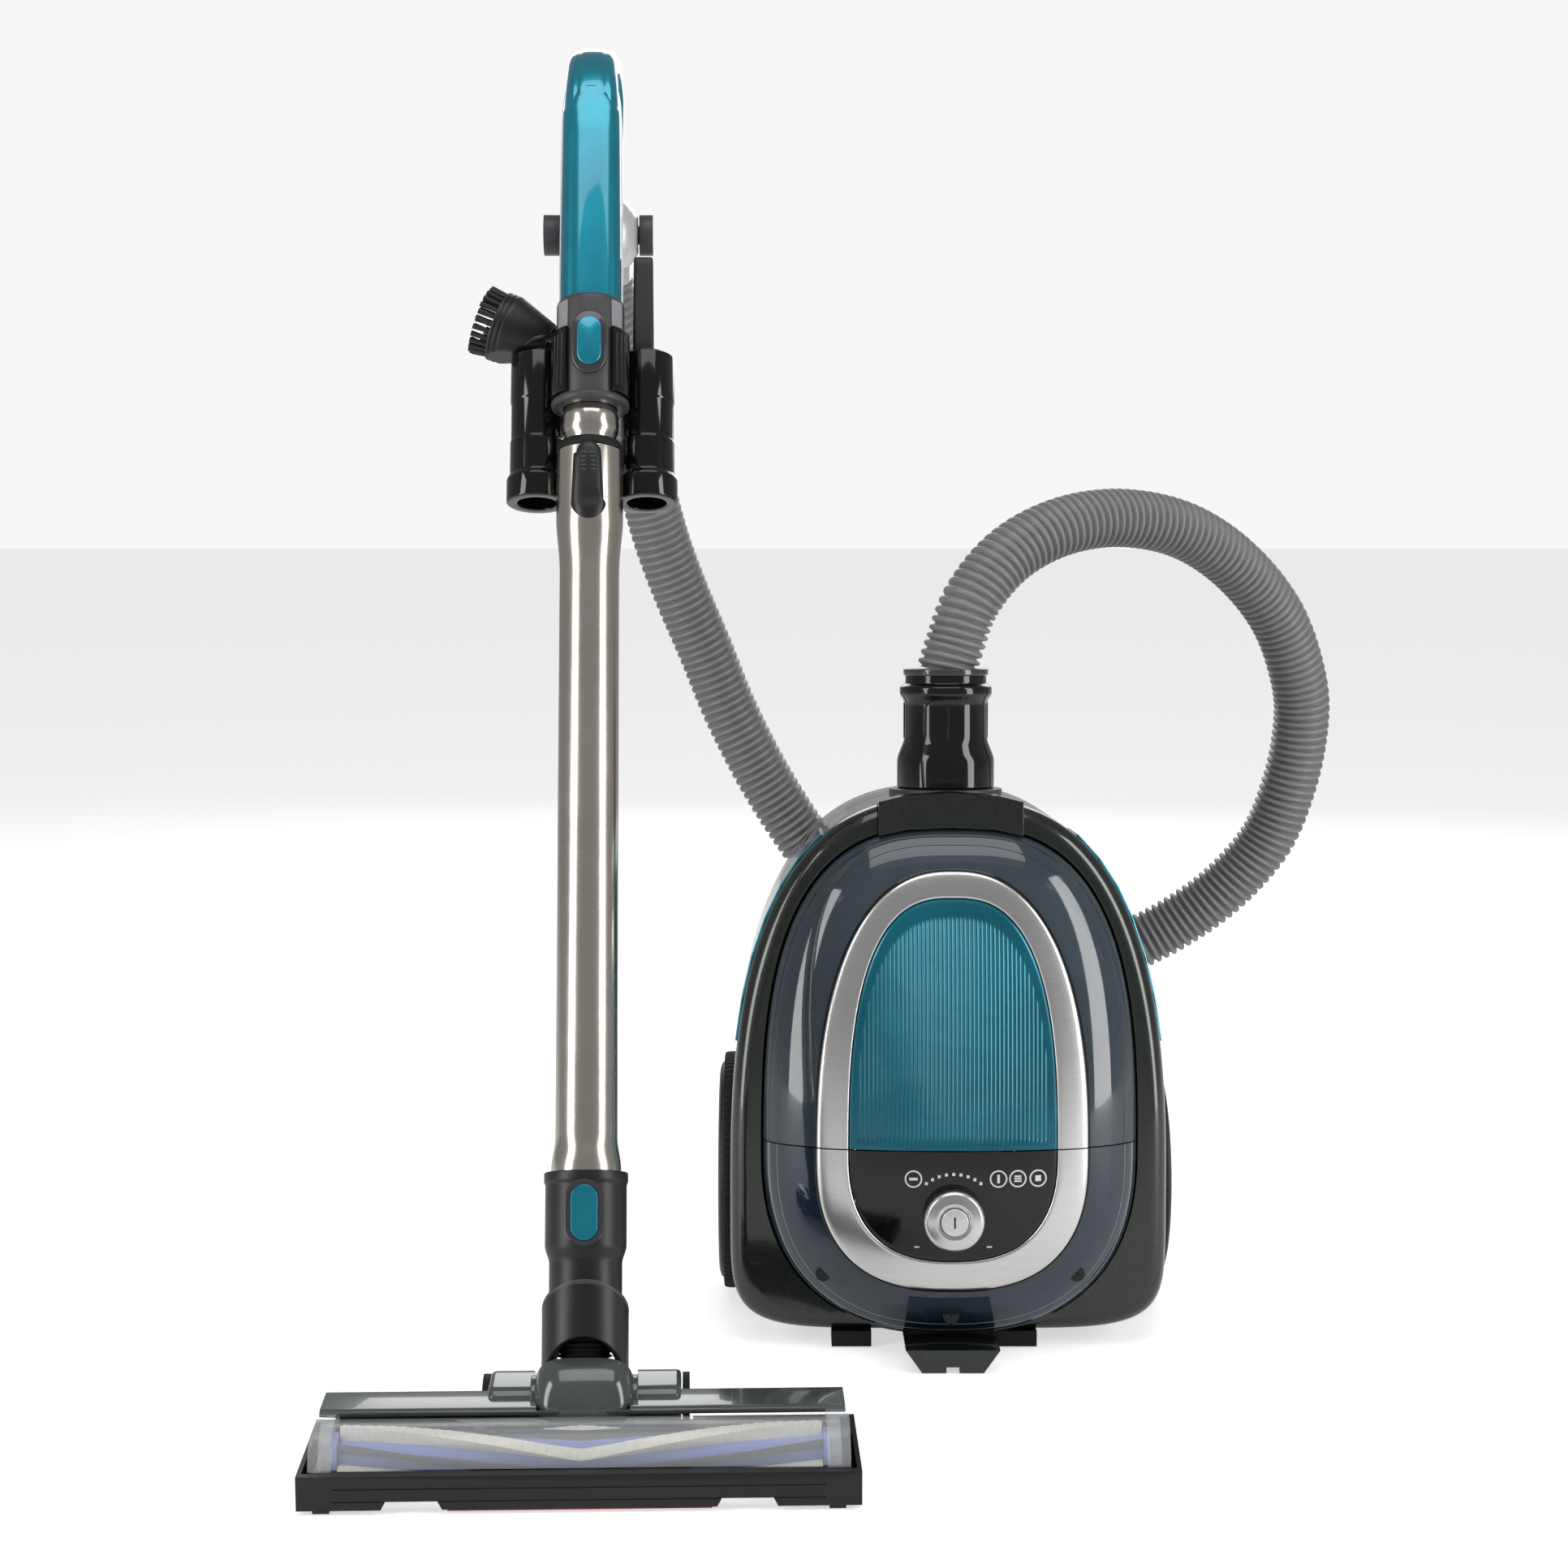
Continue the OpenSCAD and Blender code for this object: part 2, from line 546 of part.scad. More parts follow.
// ---------- wand ----------
module inner_tube() color([0.72, 0.68, 0.6]) wand_frame() rotate_extrude()
    polygon([[inner_d / 2 - 1, inner_z[0]], [inner_d / 2, inner_z[0]], [inner_d / 2, 570], [17.3, 574],
        [17.3, 583], [inner_d / 2, 587.5], [inner_d / 2, inner_z[1] - 5], [14.6, inner_z[1] - 5],
        [14.6, 588], [inner_d / 2 - 1, 583]]);
module wand_seal() color([0.02, 0.02, 0.02]) wand_frame() rotate_extrude()
    polygon([[inner_d / 2 + 0.4, outer_top - 0.5], [20, outer_top - 0.5], [20.2, outer_top + 1],
        [18.5, outer_top + 4.5], [inner_d / 2 + 0.4, outer_top + 5]]);
module outer_tube() color([0.75, 0.71, 0.63]) wand_frame() difference() {
    rotate_extrude() polygon([[tube_d / 2 - 1.4, 95], [20, 95], [20, 133], [tube_d / 2, 142], [tube_d / 2, 493],
        [sleeve_d / 2, sleeve_z], [sleeve_d / 2, outer_top - 0.6], [sleeve_d / 2 - 3.9, outer_top - 0.6],
        [tube_d / 2 - 1.4, 530]]);
    block([-6, 6], [-30, 0], [524, 548]);
}
module teardrop() polygon(concat(
    [for (a = [0:15:180]) [7.5 * cos(a), 554 + 7.5 * sin(a)]],
    [for (a = [180:15:360]) [10.8 * cos(a), 523.5 + 10.8 * sin(a)]]));
module wand_slider() color([0.06, 0.06, 0.06]) wand_frame() difference() {
    union() {
        intersection() {
            slab(-30, -14) teardrop();
            translate([0, 0, 500]) cylinder(h = 70, r = sleeve_d / 2 + 3.4);
        }
        block([-5, 5], [-21, -17.6], [534, 546]);
    }
    difference() {
        translate([0, 0, 500]) cylinder(h = 70, r = sleeve_d / 2 + 0.35);
        block([-5, 5], [-30, -17.6], [534, 546]);
    }
}
module connector() color([0.07, 0.07, 0.07]) wand_frame() difference() {
    union() {
        translate([0, 0, neck_z[0]]) cylinder(h = 40, r = 20.7);
        translate([0, 0, neck_z[1]]) cylinder(h = 8, r1 = 20.7, r2 = 23.2);
        translate([0, 0, neck_z[1] + 8]) cylinder(h = 42, r = 23.2);
        translate([0, 0, 121]) cylinder(h = 6, r = 24);
        block([-11.5, 11.5], [-25.5, -10], [84, 120]);
    }
    translate([0, 0, 94]) cylinder(h = 50, r = 20.1);
    translate([0, 0, 30]) cylinder(h = 90, r = 16.5);
    slab(-30, -21) translate([0, -522]) pill(8, 32);
}
module connector_button() color([0, 0.6, 0.72]) wand_frame() translate([0, 0, -522])
    slab(-26.2, -23.4) pill(7.5, 31);
// Elbow: turns on the connector's neck and ends in two ears on the neck pivot
ear_y = 8;             // half width of an ear
arch_z = 11.5;         // centre of the arch that bares the bellows
module elbow() color([0.07, 0.07, 0.07]) wand_frame() difference() {
    translate([0, 0, -ear_y]) cylinder(h = 67 + ear_y, r = elbow_r);
    block([-40, 40], [0, 40], [50, 80]);
    translate([0, 0, 50]) rotate([-33, 0, 0]) block([-40, 40], [-60, 0], [0, 60]);
    translate([0, 0, neck_z[0] - 0.5]) cylinder(h = 60, r = 20.7 + fit);
    translate([0, 0, -40]) cylinder(h = 120, r = 19.5);
    rod_x(-40, 40, 5 + fit, 0, 0);
    for (y = [[-40, -ear_y], [ear_y, 40]]) {
        rod_y(y[0], y[1], 22.5, 0, arch_z);
        block([-40, 40], y, [-40, arch_z]);
    }
}
module bellows() color([0.03, 0.03, 0.03]) wand_frame() rotate_extrude()
    polygon(concat([[13, 39], [13, 27]], [for (i = [0:5]) [i % 2 == 0 ? 15 : 17.5, 27 + i * 2.4]]));

// ---------- floor nozzle ----------
module half_round(r, x0, x1) rod_x(x0, x1, r, brush_at[0], brush_at[1] - 2);
bearing_x = [135.5, 139.2, 143];
box_x = [-137, -62];   // housing of the brush motor and its belt
module nozzle_base() color([0.08, 0.07, 0.06]) nozzle_frame() {
    difference() {
        union() {
            block([-nozzle_w / 2, nozzle_w / 2], [-75, 10], [2, 21]);
            both_sides() block([134, 143], [-74, -60], [0, 3]);
            block(box_x, [-17, 20], [2, 32]);
        }
        block([-bearing_x[1], bearing_x[1]], [-66, -24], [-1, 30]);
        for (z = [7, 14]) block([-132, 132], [-80, -74.4], [z - 0.6, z + 0.6]);
        both_sides() slab(-90, -60) polygon([[72, -1], [76, 6.5], [104, 6.5], [108, -1]]);
        block([box_x[0] + 3, box_x[1] - 3], [-14, 17], [4, 30]);
        block([box_x[0] + 2, box_x[0] + 8], [-30, -10], [5, 30]);
        both_sides() block([bearing_x[2], 149], [-70, -20], [5, 30]);
        half_round(22.8, -bearing_x[1], bearing_x[1]);
        block([-26.5, 26.5], [-2, 30], [-1, 60]);
        both_sides() rod_x(pod_x[1], pod_x[1] + 6.5, 22, nwheel_at[0], nwheel_at[1]);
        pivot_room();
    }
    both_sides() difference() {
        rod_x(bearing_x[0], bearing_x[1] + 1.2, 7, brush_at[0], brush_at[1]);
        rod_x(bearing_x[0] - 1, bearing_x[1], 3 + fit, brush_at[0], brush_at[1]);
    }
}
// Room for the elbow's ears and the axle of the rear wheels
module pivot_room() {
    translate([0, 0, wand_at.z]) sphere(elbow_r + gap, $fn = 64);
    rod_x(-80, 80, 4, nwheel_at[0], nwheel_at[1]);
}
// Barrel round the pivot axis, flatter than a ball
module barrel(r, x) translate([0, 0, wand_at.z]) rotate([0, 90, 0]) rotate_extrude()
    polygon(concat([[0, x]], [for (t = [10:10:170]) [r * pow(sin(t), 0.54), x * sgn_pow(cos(t), 0.54)]], [[0, -x]]));
module nozzle_top() color([0.36, 0.4, 0.37]) nozzle_frame() {
    difference() {
        union() {
            barrel(dome_r, dome_r);
            difference() {
                block([-145, 145], [-26, 4], [35.5, 39.5]);
                block([-25.3, 25.3], [-18, 10], [30, 50]);
            }
            both_sides() {
                rod_x(pod_x[0], pod_x[1], 21, nwheel_at[0] - 3, 24);
                block([pod_x[0], pod_x[1]], [-10, 23], [10, 44]);
                rod_x(elbow_r + 0.8, pod_x[0] + 1, 14, 0, wand_at.z);
            }
        }
        barrel(dome_r - 2.6, dome_r - 2.6);
        block([-dome_r + 2.6, dome_r - 2.6], [-6.5, 60], [-20, 80]);
        rod_x(-80, 80, 4, nwheel_at[0], nwheel_at[1]);
        both_sides() rod_x(pod_x[0] + 3, pod_x[1] - 3, 16, nwheel_at[0], nwheel_at[1]);
        below(9.5);
        block([box_x[0] - 0.5, box_x[1] + 0.5], [-17.5, 20.5], [2, 32.3]);
        block([-200, 200], [-76, 10.3], [1, 21.3]);
        half_round(23, -200, 200);
        both_sides() rod_x(pod_x[1], pod_x[1] + 6.5, 22, nwheel_at[0], nwheel_at[1]);
    }
    both_sides() rod_x(19.8, pod_x[0] + 1, 5, 0, wand_at.z);
}
module nozzle_window() color([0.8, 0.82, 0.85, 0.35]) nozzle_frame() difference() {
    union() {
        half_round(22.5, -143, 143);
        both_sides() half_round(25.5, 133, 146);
    }
    half_round(20.5, -141, 141);
    below(21.2);
    block([-200, 200], [-27.5, 60], [-50, 100]);
}
module brush_core() color([0.35, 0.42, 0.75]) nozzle_frame() {
    rod_x(-134, 134, core_r, brush_at[0], brush_at[1]);
    rod_x(-138.5, -134, 3, brush_at[0], brush_at[1]);
    rod_x(134, 138.5, 3, brush_at[0], brush_at[1]);
}
module brush_strips() color([0.93, 0.88, 0.8]) nozzle_frame()
    translate([0, brush_at[0], brush_at[1]])
    for (a = [40, 160, 280]) both_sides() for (i = [0:8])
        translate([4 + i * 14, 0, 0]) rotate([a - i * 9, 0, 0])
        translate([0, -1.6, core_r]) cube([13.6, 3.2, brush_r - core_r]);
module brush_motor() color([0.5, 0.5, 0.52]) nozzle_frame() difference() {
    rod_x(-122, -68, 11, motor_at[0], motor_at[1]);
    rod_x(-130, -90, 1.5 + fit, motor_at[0], motor_at[1]);
}
belt_x = [-133.2, -130.2];
module motor_pulley() color([0.2, 0.2, 0.2]) nozzle_frame() {
    rod_x(belt_x[0] - 0.6, belt_x[1] + 0.6, 4, motor_at[0], motor_at[1]);
    rod_x(belt_x[1], -94, 1.5, motor_at[0], motor_at[1]);
}
module belt_loop(grow) hull() {
    translate(brush_at) circle(core_r + grow, $fn = fine);
    translate(motor_at) circle(4 + grow, $fn = fine);
}
module drive_belt() color([0.03, 0.03, 0.03]) nozzle_frame() translate([belt_x[0], 0, 0])
    rotate([90, 0, 90]) linear_extrude(belt_x[1] - belt_x[0]) difference() {
        belt_loop(1.5);
        belt_loop(0.35);
    }
module felt_strip() color([0.6, 0.05, 0.06]) nozzle_frame() block([-71, 71], [-73, -69], [0.6, 2]);
module nozzle_wheels() color([0.05, 0.05, 0.05]) nozzle_frame() {
    both_sides() rod_x(pod_x[1] + 0.6, pod_x[1] + 4.6, 20, nwheel_at[0], nwheel_at[1]);
    rod_x(-56, 56, 3.9, nwheel_at[0], nwheel_at[1]);
}

base_casing();
frame_casing();
side_strips();
stand_feet();
tail_bracket();
casing_screws();
lower_cover();
lower_bezel();
control_panel();
control_board();
knob();
power_button();
hose_inlet();
motor();
fan_wheel();
battery_pack();
battery_door();
exhaust_filter();
bin_shell();
bin_cover();
bin_bezel();
bin_panel();
cyclone_cone();
pre_filter();
bin_latch();
wheel_left();
wheel_right();
caster_fork();
caster_wheel();
hose_cuff();
hose();
handle_front();
handle_rear();
handle_trim();
handle_housing();
handle_hub();
hub_caps();
handle_button();
tool_holder();
crevice_tool();
dusting_brush();
brush_tufts();
inner_tube();
wand_seal();
outer_tube();
wand_slider();
connector();
connector_button();
elbow();
bellows();
nozzle_base();
nozzle_top();
nozzle_window();
brush_core();
brush_strips();
brush_motor();
motor_pulley();
drive_belt();
felt_strip();
nozzle_wheels();
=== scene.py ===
"""Looks of an upright-stored canister vacuum cleaner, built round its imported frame.

Local frames are in millimetres: the canister leans back 5 degrees, the wand leans back 21.25
degrees and the nozzle stands flat.  Every finished piece is in metres in the frame's own axes.
"""

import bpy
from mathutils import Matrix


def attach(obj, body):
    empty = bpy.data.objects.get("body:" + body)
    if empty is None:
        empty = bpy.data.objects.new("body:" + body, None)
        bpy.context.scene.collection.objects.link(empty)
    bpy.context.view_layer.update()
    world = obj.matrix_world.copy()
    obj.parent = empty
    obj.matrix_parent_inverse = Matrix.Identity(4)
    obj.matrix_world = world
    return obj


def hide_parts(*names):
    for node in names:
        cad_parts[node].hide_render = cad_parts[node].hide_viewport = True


bl_info = {
    "name": "Canister Vacuum Cleaner",
    "version": (1, 0, 0),
    "blender": (4, 5, 0),
    "location": "View3D > Sidebar > Cleaner",
    "description": "Builds the visible pieces of a canister vacuum cleaner round its frame",
    "category": "Add Mesh",
}

from math import radians

import bpy
import numpy as np
from mathutils import Vector

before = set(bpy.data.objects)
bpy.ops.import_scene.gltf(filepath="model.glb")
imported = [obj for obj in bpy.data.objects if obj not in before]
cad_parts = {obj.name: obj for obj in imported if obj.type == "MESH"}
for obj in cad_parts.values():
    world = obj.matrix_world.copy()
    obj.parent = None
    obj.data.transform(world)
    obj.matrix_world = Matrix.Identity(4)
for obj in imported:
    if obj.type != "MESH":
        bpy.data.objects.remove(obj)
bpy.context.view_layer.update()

MM = 0.001
SMOOTH_ANGLE = radians(38)
CANISTER_AT, CANISTER_LEAN = (110.4, 25.0, 0.0), 5.0
WAND_AT, WAND_LEAN, WAND_YAW = (-104.6, -160.0, 34.5), 21.25, 1.7
NOZZLE_AT = (-104.6, -160.0, 0.0)
# Axes, as the two places that are not along them, in their own frame
WHEEL_AT, KNOB_AT, INLET_AT, CASTER_AT = (112.0, 92.0), (0.0, 91.5), (0.0, 55.0), (0.0, 285.0)
HUB_AT, WINDOW_AT, BRUSH_AT, PIVOT_AT = (68.0, 734.0), (-45.0, 18.0), (-45.0, 20.0), (0.0, 34.5)


# ---------- sizes and colours a user would change ----------
def length(name, default, description):
    """A length property in metres with its millimetre default."""
    return bpy.props.FloatProperty(name=name, description=description, default=default * MM, unit="LENGTH")


def colour(name, default, description):
    """A colour property in linear light."""
    return bpy.props.FloatVectorProperty(name=name, description=description, default=default,
                                         subtype="COLOR", size=3, min=0.0, max=1.0)


class CleanerSizes(bpy.types.PropertyGroup):
    """Sizes of the detail that the frame leaves open"""
    hose_pitch: length("Hose pitch", 5.5, "Distance between two turns of the hose's ridge")
    hose_depth: length("Hose ridge", 3.0, "Height of the hose's ridge")
    panel_rib: length("Panel rib", 2.6, "Distance between two ribs of the bin panel")
    tuft_length: length("Tuft length", 12.5, "Free length of the dusting brush's tufts")


class CleanerColours(bpy.types.PropertyGroup):
    """Base colours of the cleaner's finishes"""
    casing: colour("Casing", (0.022, 0.027, 0.021), "Metallic paint of the canister's casing")
    teal: colour("Teal", (0.0, 0.26, 0.36), "Candy teal of the grip, buttons and strips")
    panel: colour("Panel", (0.0, 0.14, 0.20), "Deep teal of the ribbed panel")
    smoke: colour("Smoke", (0.055, 0.075, 0.095), "Tint of the clear covers")
    silver: colour("Silver", (0.74, 0.73, 0.72), "Satin silver of the bezel and hub")
    hose: colour("Hose", (0.21, 0.21, 0.215), "Grey of the hose")
    steel: colour("Steel", (0.66, 0.61, 0.53), "Warm stainless of the wand tubes")
    nozzle: colour("Nozzle", (0.06, 0.075, 0.064), "Grey green of the floor nozzle")


def sizes():
    """The sizes property group of the scene."""
    return bpy.context.scene.cleaner_sizes


def colours():
    """The colours property group of the scene."""
    return bpy.context.scene.cleaner_colours


# ---------- frames ----------
def lean_back(points, degrees):
    """Turns points about X so that what stood upright leans towards +Y."""
    c, s = np.cos(np.radians(degrees)), np.sin(np.radians(degrees))
    x, y, z = np.moveaxis(np.asarray(points, float), -1, 0)
    return np.stack([x, y * c + z * s, -y * s + z * c], -1)


def yaw(points, degrees):
    """Turns points about Z."""
    c, s = np.cos(np.radians(degrees)), np.sin(np.radians(degrees))
    x, y, z = np.moveaxis(np.asarray(points, float), -1, 0)
    return np.stack([x * c - y * s, x * s + y * c, z], -1)


def in_canister(points):
    """Canister frame to the object's frame, in millimetres."""
    return lean_back(points, CANISTER_LEAN) + CANISTER_AT


def in_wand(points):
    """Wand frame to the object's frame, in millimetres."""
    return yaw(lean_back(points, WAND_LEAN), WAND_YAW) + WAND_AT


def in_nozzle(points):
    """Nozzle frame to the object's frame, in millimetres."""
    return yaw(points, WAND_YAW) + NOZZLE_AT


def in_place(points):
    """Already in the object's frame."""
    return np.asarray(points, float)


# ---------- meshes ----------
def grid_faces(rows, columns, wrap_rows=False, wrap_columns=False):
    """Quads between neighbours of a rows by columns grid of points."""
    r = np.arange(rows if wrap_rows else rows - 1)
    c = np.arange(columns if wrap_columns else columns - 1)
    i, j = np.meshgrid(r, c, indexing="ij")
    i2, j2 = (i + 1) % rows, (j + 1) % columns
    quads = [i * columns + j, i * columns + j2, i2 * columns + j2, i2 * columns + j]
    return np.stack(quads, -1).reshape(-1, 4)


def volume_sign(points, faces):
    """Sign of the volume inside quads: the sum of corner triple products."""
    a, b, c, d = (points[faces[:, k]] for k in range(4))
    total = np.einsum("ij,ij->i", a, np.cross(b, c)).sum() + np.einsum("ij,ij->i", a, np.cross(c, d)).sum()
    return 1.0 if total >= 0 else -1.0


class Solid:
    """Closed quad shells gathered into one mesh."""

    def __init__(self):
        self.points, self.faces, self.count = [], [], 0

    def add(self, points, faces):
        """Adds one closed shell, turned so that its faces point outwards."""
        points = np.asarray(points, float).reshape(-1, 3)
        faces = np.asarray(faces)
        if volume_sign(points - points.mean(0), faces) < 0:
            faces = faces[:, ::-1]
        self.points.append(points)
        self.faces.append(faces + self.count)
        self.count += len(points)
        return self

    def ring(self, grid):
        """A grid closed both ways, like a tyre."""
        rows, columns = grid.shape[:2]
        return self.add(grid, grid_faces(rows, columns, True, True))

    def tube(self, grid):
        """A grid whose columns close, with both ends capped by fans to their centres."""
        rows, columns = grid.shape[:2]
        points = np.concatenate([grid.reshape(-1, 3), [grid[0].mean(0), grid[-1].mean(0)]])
        j = np.arange(columns)
        j2 = (j + 1) % columns
        top = (rows - 1) * columns
        n = rows * columns
        first = np.stack([j2, j, np.full(columns, n), np.full(columns, n)], -1)
        last = np.stack([top + j, top + j2, np.full(columns, n + 1), np.full(columns, n + 1)], -1)
        return self.add(points, np.concatenate([grid_faces(rows, columns, False, True), first, last]))

    def sheet(self, outer, inner):
        """Two grids of the same shape, joined along their borders into a closed wall."""
        rows, columns = outer.shape[:2]
        n = rows * columns
        faces = grid_faces(rows, columns)
        i, j = np.arange(rows), np.arange(columns)
        rim = np.concatenate([j, i[1:] * columns + columns - 1, (rows - 1) * columns + j[::-1][1:],
                              i[::-1][1:] * columns])
        edge = np.stack([rim[:-1], rim[1:], rim[1:] + n, rim[:-1] + n], -1)
        points = np.concatenate([outer.reshape(-1, 3), inner.reshape(-1, 3)])
        return self.add(points, np.concatenate([faces[:, ::-1], faces + n, edge]))

    def build(self, name, material, body, place=in_place, sharp=SMOOTH_ANGLE, slot=None, replaces=()):
        """Makes the mesh object, gives it its finish and lets it ride on its body."""
        obj = self.object(name, place)
        smooth(obj.data, sharp)
        return finish_piece(obj, material, body, replaces)

    def object(self, name, place):
        """The bare mesh object, in metres in the object's frame."""
        points = place(np.concatenate(self.points)) * MM
        quads = np.concatenate(self.faces)
        short = quads[:, 2] == quads[:, 3]
        mesh = bpy.data.meshes.new(name)
        mesh.from_pydata(points.tolist(), [], quads[~short].tolist() + quads[short][:, :3].tolist())
        obj = bpy.data.objects.new(name, mesh)
        bpy.context.collection.objects.link(obj)
        return obj


def smooth(mesh, sharp=SMOOTH_ANGLE):
    """Smooth shading with edges kept sharp above an angle."""
    mesh.shade_smooth()
    mesh.set_sharp_from_angle(angle=sharp)


def finish_piece(obj, material, body, replaces=()):
    """Material, riding body and the frame nodes that the piece stands for."""
    obj.data.materials.clear()
    obj.data.materials.append(material)
    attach(obj, body)
    if replaces:
        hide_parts(*replaces)
    return obj


def cut_away(obj, *cutters):
    """Takes closed cutter meshes out of obj for good, by exact boolean differences."""
    for cutter in cutters:
        modifier = obj.modifiers.new("cut", "BOOLEAN")
        modifier.object, modifier.operation, modifier.solver = cutter, "DIFFERENCE", "EXACT"
    depsgraph = bpy.context.evaluated_depsgraph_get()
    mesh = bpy.data.meshes.new_from_object(obj.evaluated_get(depsgraph))
    obj.modifiers.clear()
    if not mesh.polygons:
        raise ValueError(obj.name + " was cut away entirely")
    old = obj.data
    obj.data = mesh
    bpy.data.meshes.remove(old)
    mesh.name = obj.name
    smooth(mesh)
    for cutter in cutters:
        data = cutter.data
        bpy.data.objects.remove(cutter)
        bpy.data.meshes.remove(data)
    return obj


# ---------- outlines and profiles ----------
def power(values, exponent):
    """Signed power, for superellipses."""
    return np.sign(values) * np.abs(values) ** exponent


def egg(t, half, up, n_up, down, n_down, middle, grow=0.0):
    """Egg outline: a superellipse with its own height and squareness above and below its middle."""
    top = np.sin(t) >= 0
    n = np.where(top, n_up, n_down)
    b = np.where(top, up + grow, down + grow)
    return (half + grow) * power(np.cos(t), 2 / n), middle + b * power(np.sin(t), 2 / n)


BODY = (137.0, 246.0, 2.6, 90.0, 6.0, 100.0)
COVER = (116.5, 202.0, 2.8, 114.5, 2.4, 125.0)
RING_OUTER = (83.5, 172.0, 2.4, 86.0, 2.6, 130.0)
RING_INNER = (63.2, 155.0, 2.7, 66.0, 2.5, 130.0)
SEAM = 132.5
SEAM_GAP = 0.4
CROWN = 44.0


def half_turn(shape, count, upper, grow=0.0, level=None):
    """The part of an egg outline above or below the seam, from one end to the other."""
    level = SEAM + (SEAM_GAP if upper else -SEAM_GAP) if level is None else level
    t = np.linspace(0, np.pi, 4001) if upper else np.linspace(0, -np.pi, 4001)
    x, z = egg(t, *shape, grow=grow)
    keep = z >= level if upper else z <= level
    x, z = x[keep], z[keep]
    first = np.interp(level, *((z[:9], x[:9]) if upper else (z[:9][::-1], x[:9][::-1])))
    x = np.concatenate([[first], x, [-first]])
    z = np.concatenate([[level], z, [level]])
    run = np.concatenate([[0], np.cumsum(np.hypot(np.diff(x), np.diff(z)))])
    at = np.linspace(0, run[-1], count)
    return np.interp(at, run, x), np.interp(at, run, z)


def share(x, z, shape, grow=0.0):
    """How far out a point lies in an egg outline: 0 in the middle and 1 on the outline."""
    half, up, n_up, down, n_down, middle = shape
    top = z >= middle
    n = np.where(top, n_up, n_down)
    b = np.where(top, up, down) + grow
    return (np.abs(x / (half + grow)) ** n + np.abs((z - middle) / b) ** n) ** (1 / n)


def bulge(x, z, proud=0.0, grow=0.0):
    """Front surface of the clear cover: the crown falls away as the root of 1 - share^2.2."""
    rho = np.clip(share(x, z, COVER, grow), 0, 1)
    return -(CROWN + min(grow, 0.0)) * np.sqrt(np.clip(1 - rho ** 2.2, 0, 1)) - proud


def rounded(corners, radius, steps=5):
    """A closed profile with each corner replaced by a short parabola of about that radius."""
    p = np.asarray(corners, float)[:, :2]
    r = np.broadcast_to(radius, len(p))
    before, after = np.roll(p, 1, 0) - p, np.roll(p, -1, 0) - p
    lb, la = np.linalg.norm(before, axis=1), np.linalg.norm(after, axis=1)
    cut = np.minimum(r, 0.48 * np.minimum(lb, la))[:, None]
    start, end = p + before / lb[:, None] * cut, p + after / la[:, None] * cut
    t = np.linspace(0, 1, steps)[None, :, None]
    curve = (1 - t) ** 2 * start[:, None] + 2 * t * (1 - t) * p[:, None] + t ** 2 * end[:, None]
    return curve.reshape(-1, 2)


def revolve(profile, axis="z", centre=(0.0, 0.0), count=96, start=0.0, turn=360.0):
    """A closed (radius, height) profile carried round an axis; centre is the axis's other two places."""
    profile = np.asarray(profile, float)
    full = turn >= 360
    t = np.radians(start + np.linspace(0, turn, count, endpoint=not full))
    r, h = profile[:, :1], np.repeat(profile[:, 1:2], len(t), 1)
    a, b = r * np.cos(t) + centre[0], r * np.sin(t) + centre[1]
    order = {"z": (a, b, h), "y": (a, h, b), "x": (h, a, b)}[axis]
    return np.stack(order, -1)


def turned(profile, axis="z", centre=(0.0, 0.0), count=96):
    """A Solid of one turned ring."""
    return Solid().ring(revolve(profile, axis, centre, count))


def disc(radius, low, high, axis="z", centre=(0.0, 0.0), edge=0.6, count=64):
    """A solid round with softened rims: rows run from the axis out and back."""
    rows = rounded([(0, low), (radius, low), (radius, high), (0, high)], [0, edge, edge, 0])
    rows = rows[(rows[:, 0] > 1e-6)]
    rows = np.concatenate([[(0.02, low)], rows, [(0.02, high)]])
    return revolve(rows, axis, centre, count)


def box_section(half_a, half_b, radius, steps=5):
    """A rounded rectangle as (a, b) pairs."""
    corners = [(-half_a, -half_b), (half_a, -half_b), (half_a, half_b), (-half_a, half_b)]
    return rounded(corners, radius, steps)


def block(low, high, radius=1.0, steps=4):
    """A block with all its edges softened: rounded sections that shrink at both ends."""
    low, high = np.asarray(low, float), np.asarray(high, float)
    mid, half = (low + high) / 2, (high - low) / 2
    radius = min(radius, 0.45 * half.min() * 2)
    bend = np.linspace(0, np.pi / 2, steps)
    inset = np.concatenate([radius * (1 - np.sin(bend)), radius * (1 - np.sin(bend))[::-1]])
    height = np.concatenate([-half[2] + radius * (1 - np.cos(bend)), (half[2] - radius * (1 - np.cos(bend)))[::-1]])
    section = box_section(half[0], half[1], radius)
    sign = np.sign(section)
    grid = np.stack([np.concatenate([section - sign * i, np.full((len(section), 1), h)], 1)
                     for i, h in zip(inset, height)])
    return grid + mid


def sweep(path, side, section, scale=None):
    """A closed section carried along a path: its first place runs along side, its second along the normal."""
    path = np.asarray(path, float)
    along = np.gradient(path, axis=0)
    along /= np.linalg.norm(along, axis=1)[:, None]
    side = np.broadcast_to(np.asarray(side, float), path.shape)
    side = side - (side * along).sum(1)[:, None] * along
    side /= np.linalg.norm(side, axis=1)[:, None]
    normal = np.cross(along, side)
    section = np.asarray(section, float)
    if section.ndim == 2:
        section = np.broadcast_to(section, (len(path),) + section.shape)
    if scale is not None:
        section = section * np.asarray(scale, float).reshape(len(path), 1, -1)
    return path[:, None] + section[..., :1] * side[:, None] + section[..., 1:2] * normal[:, None]


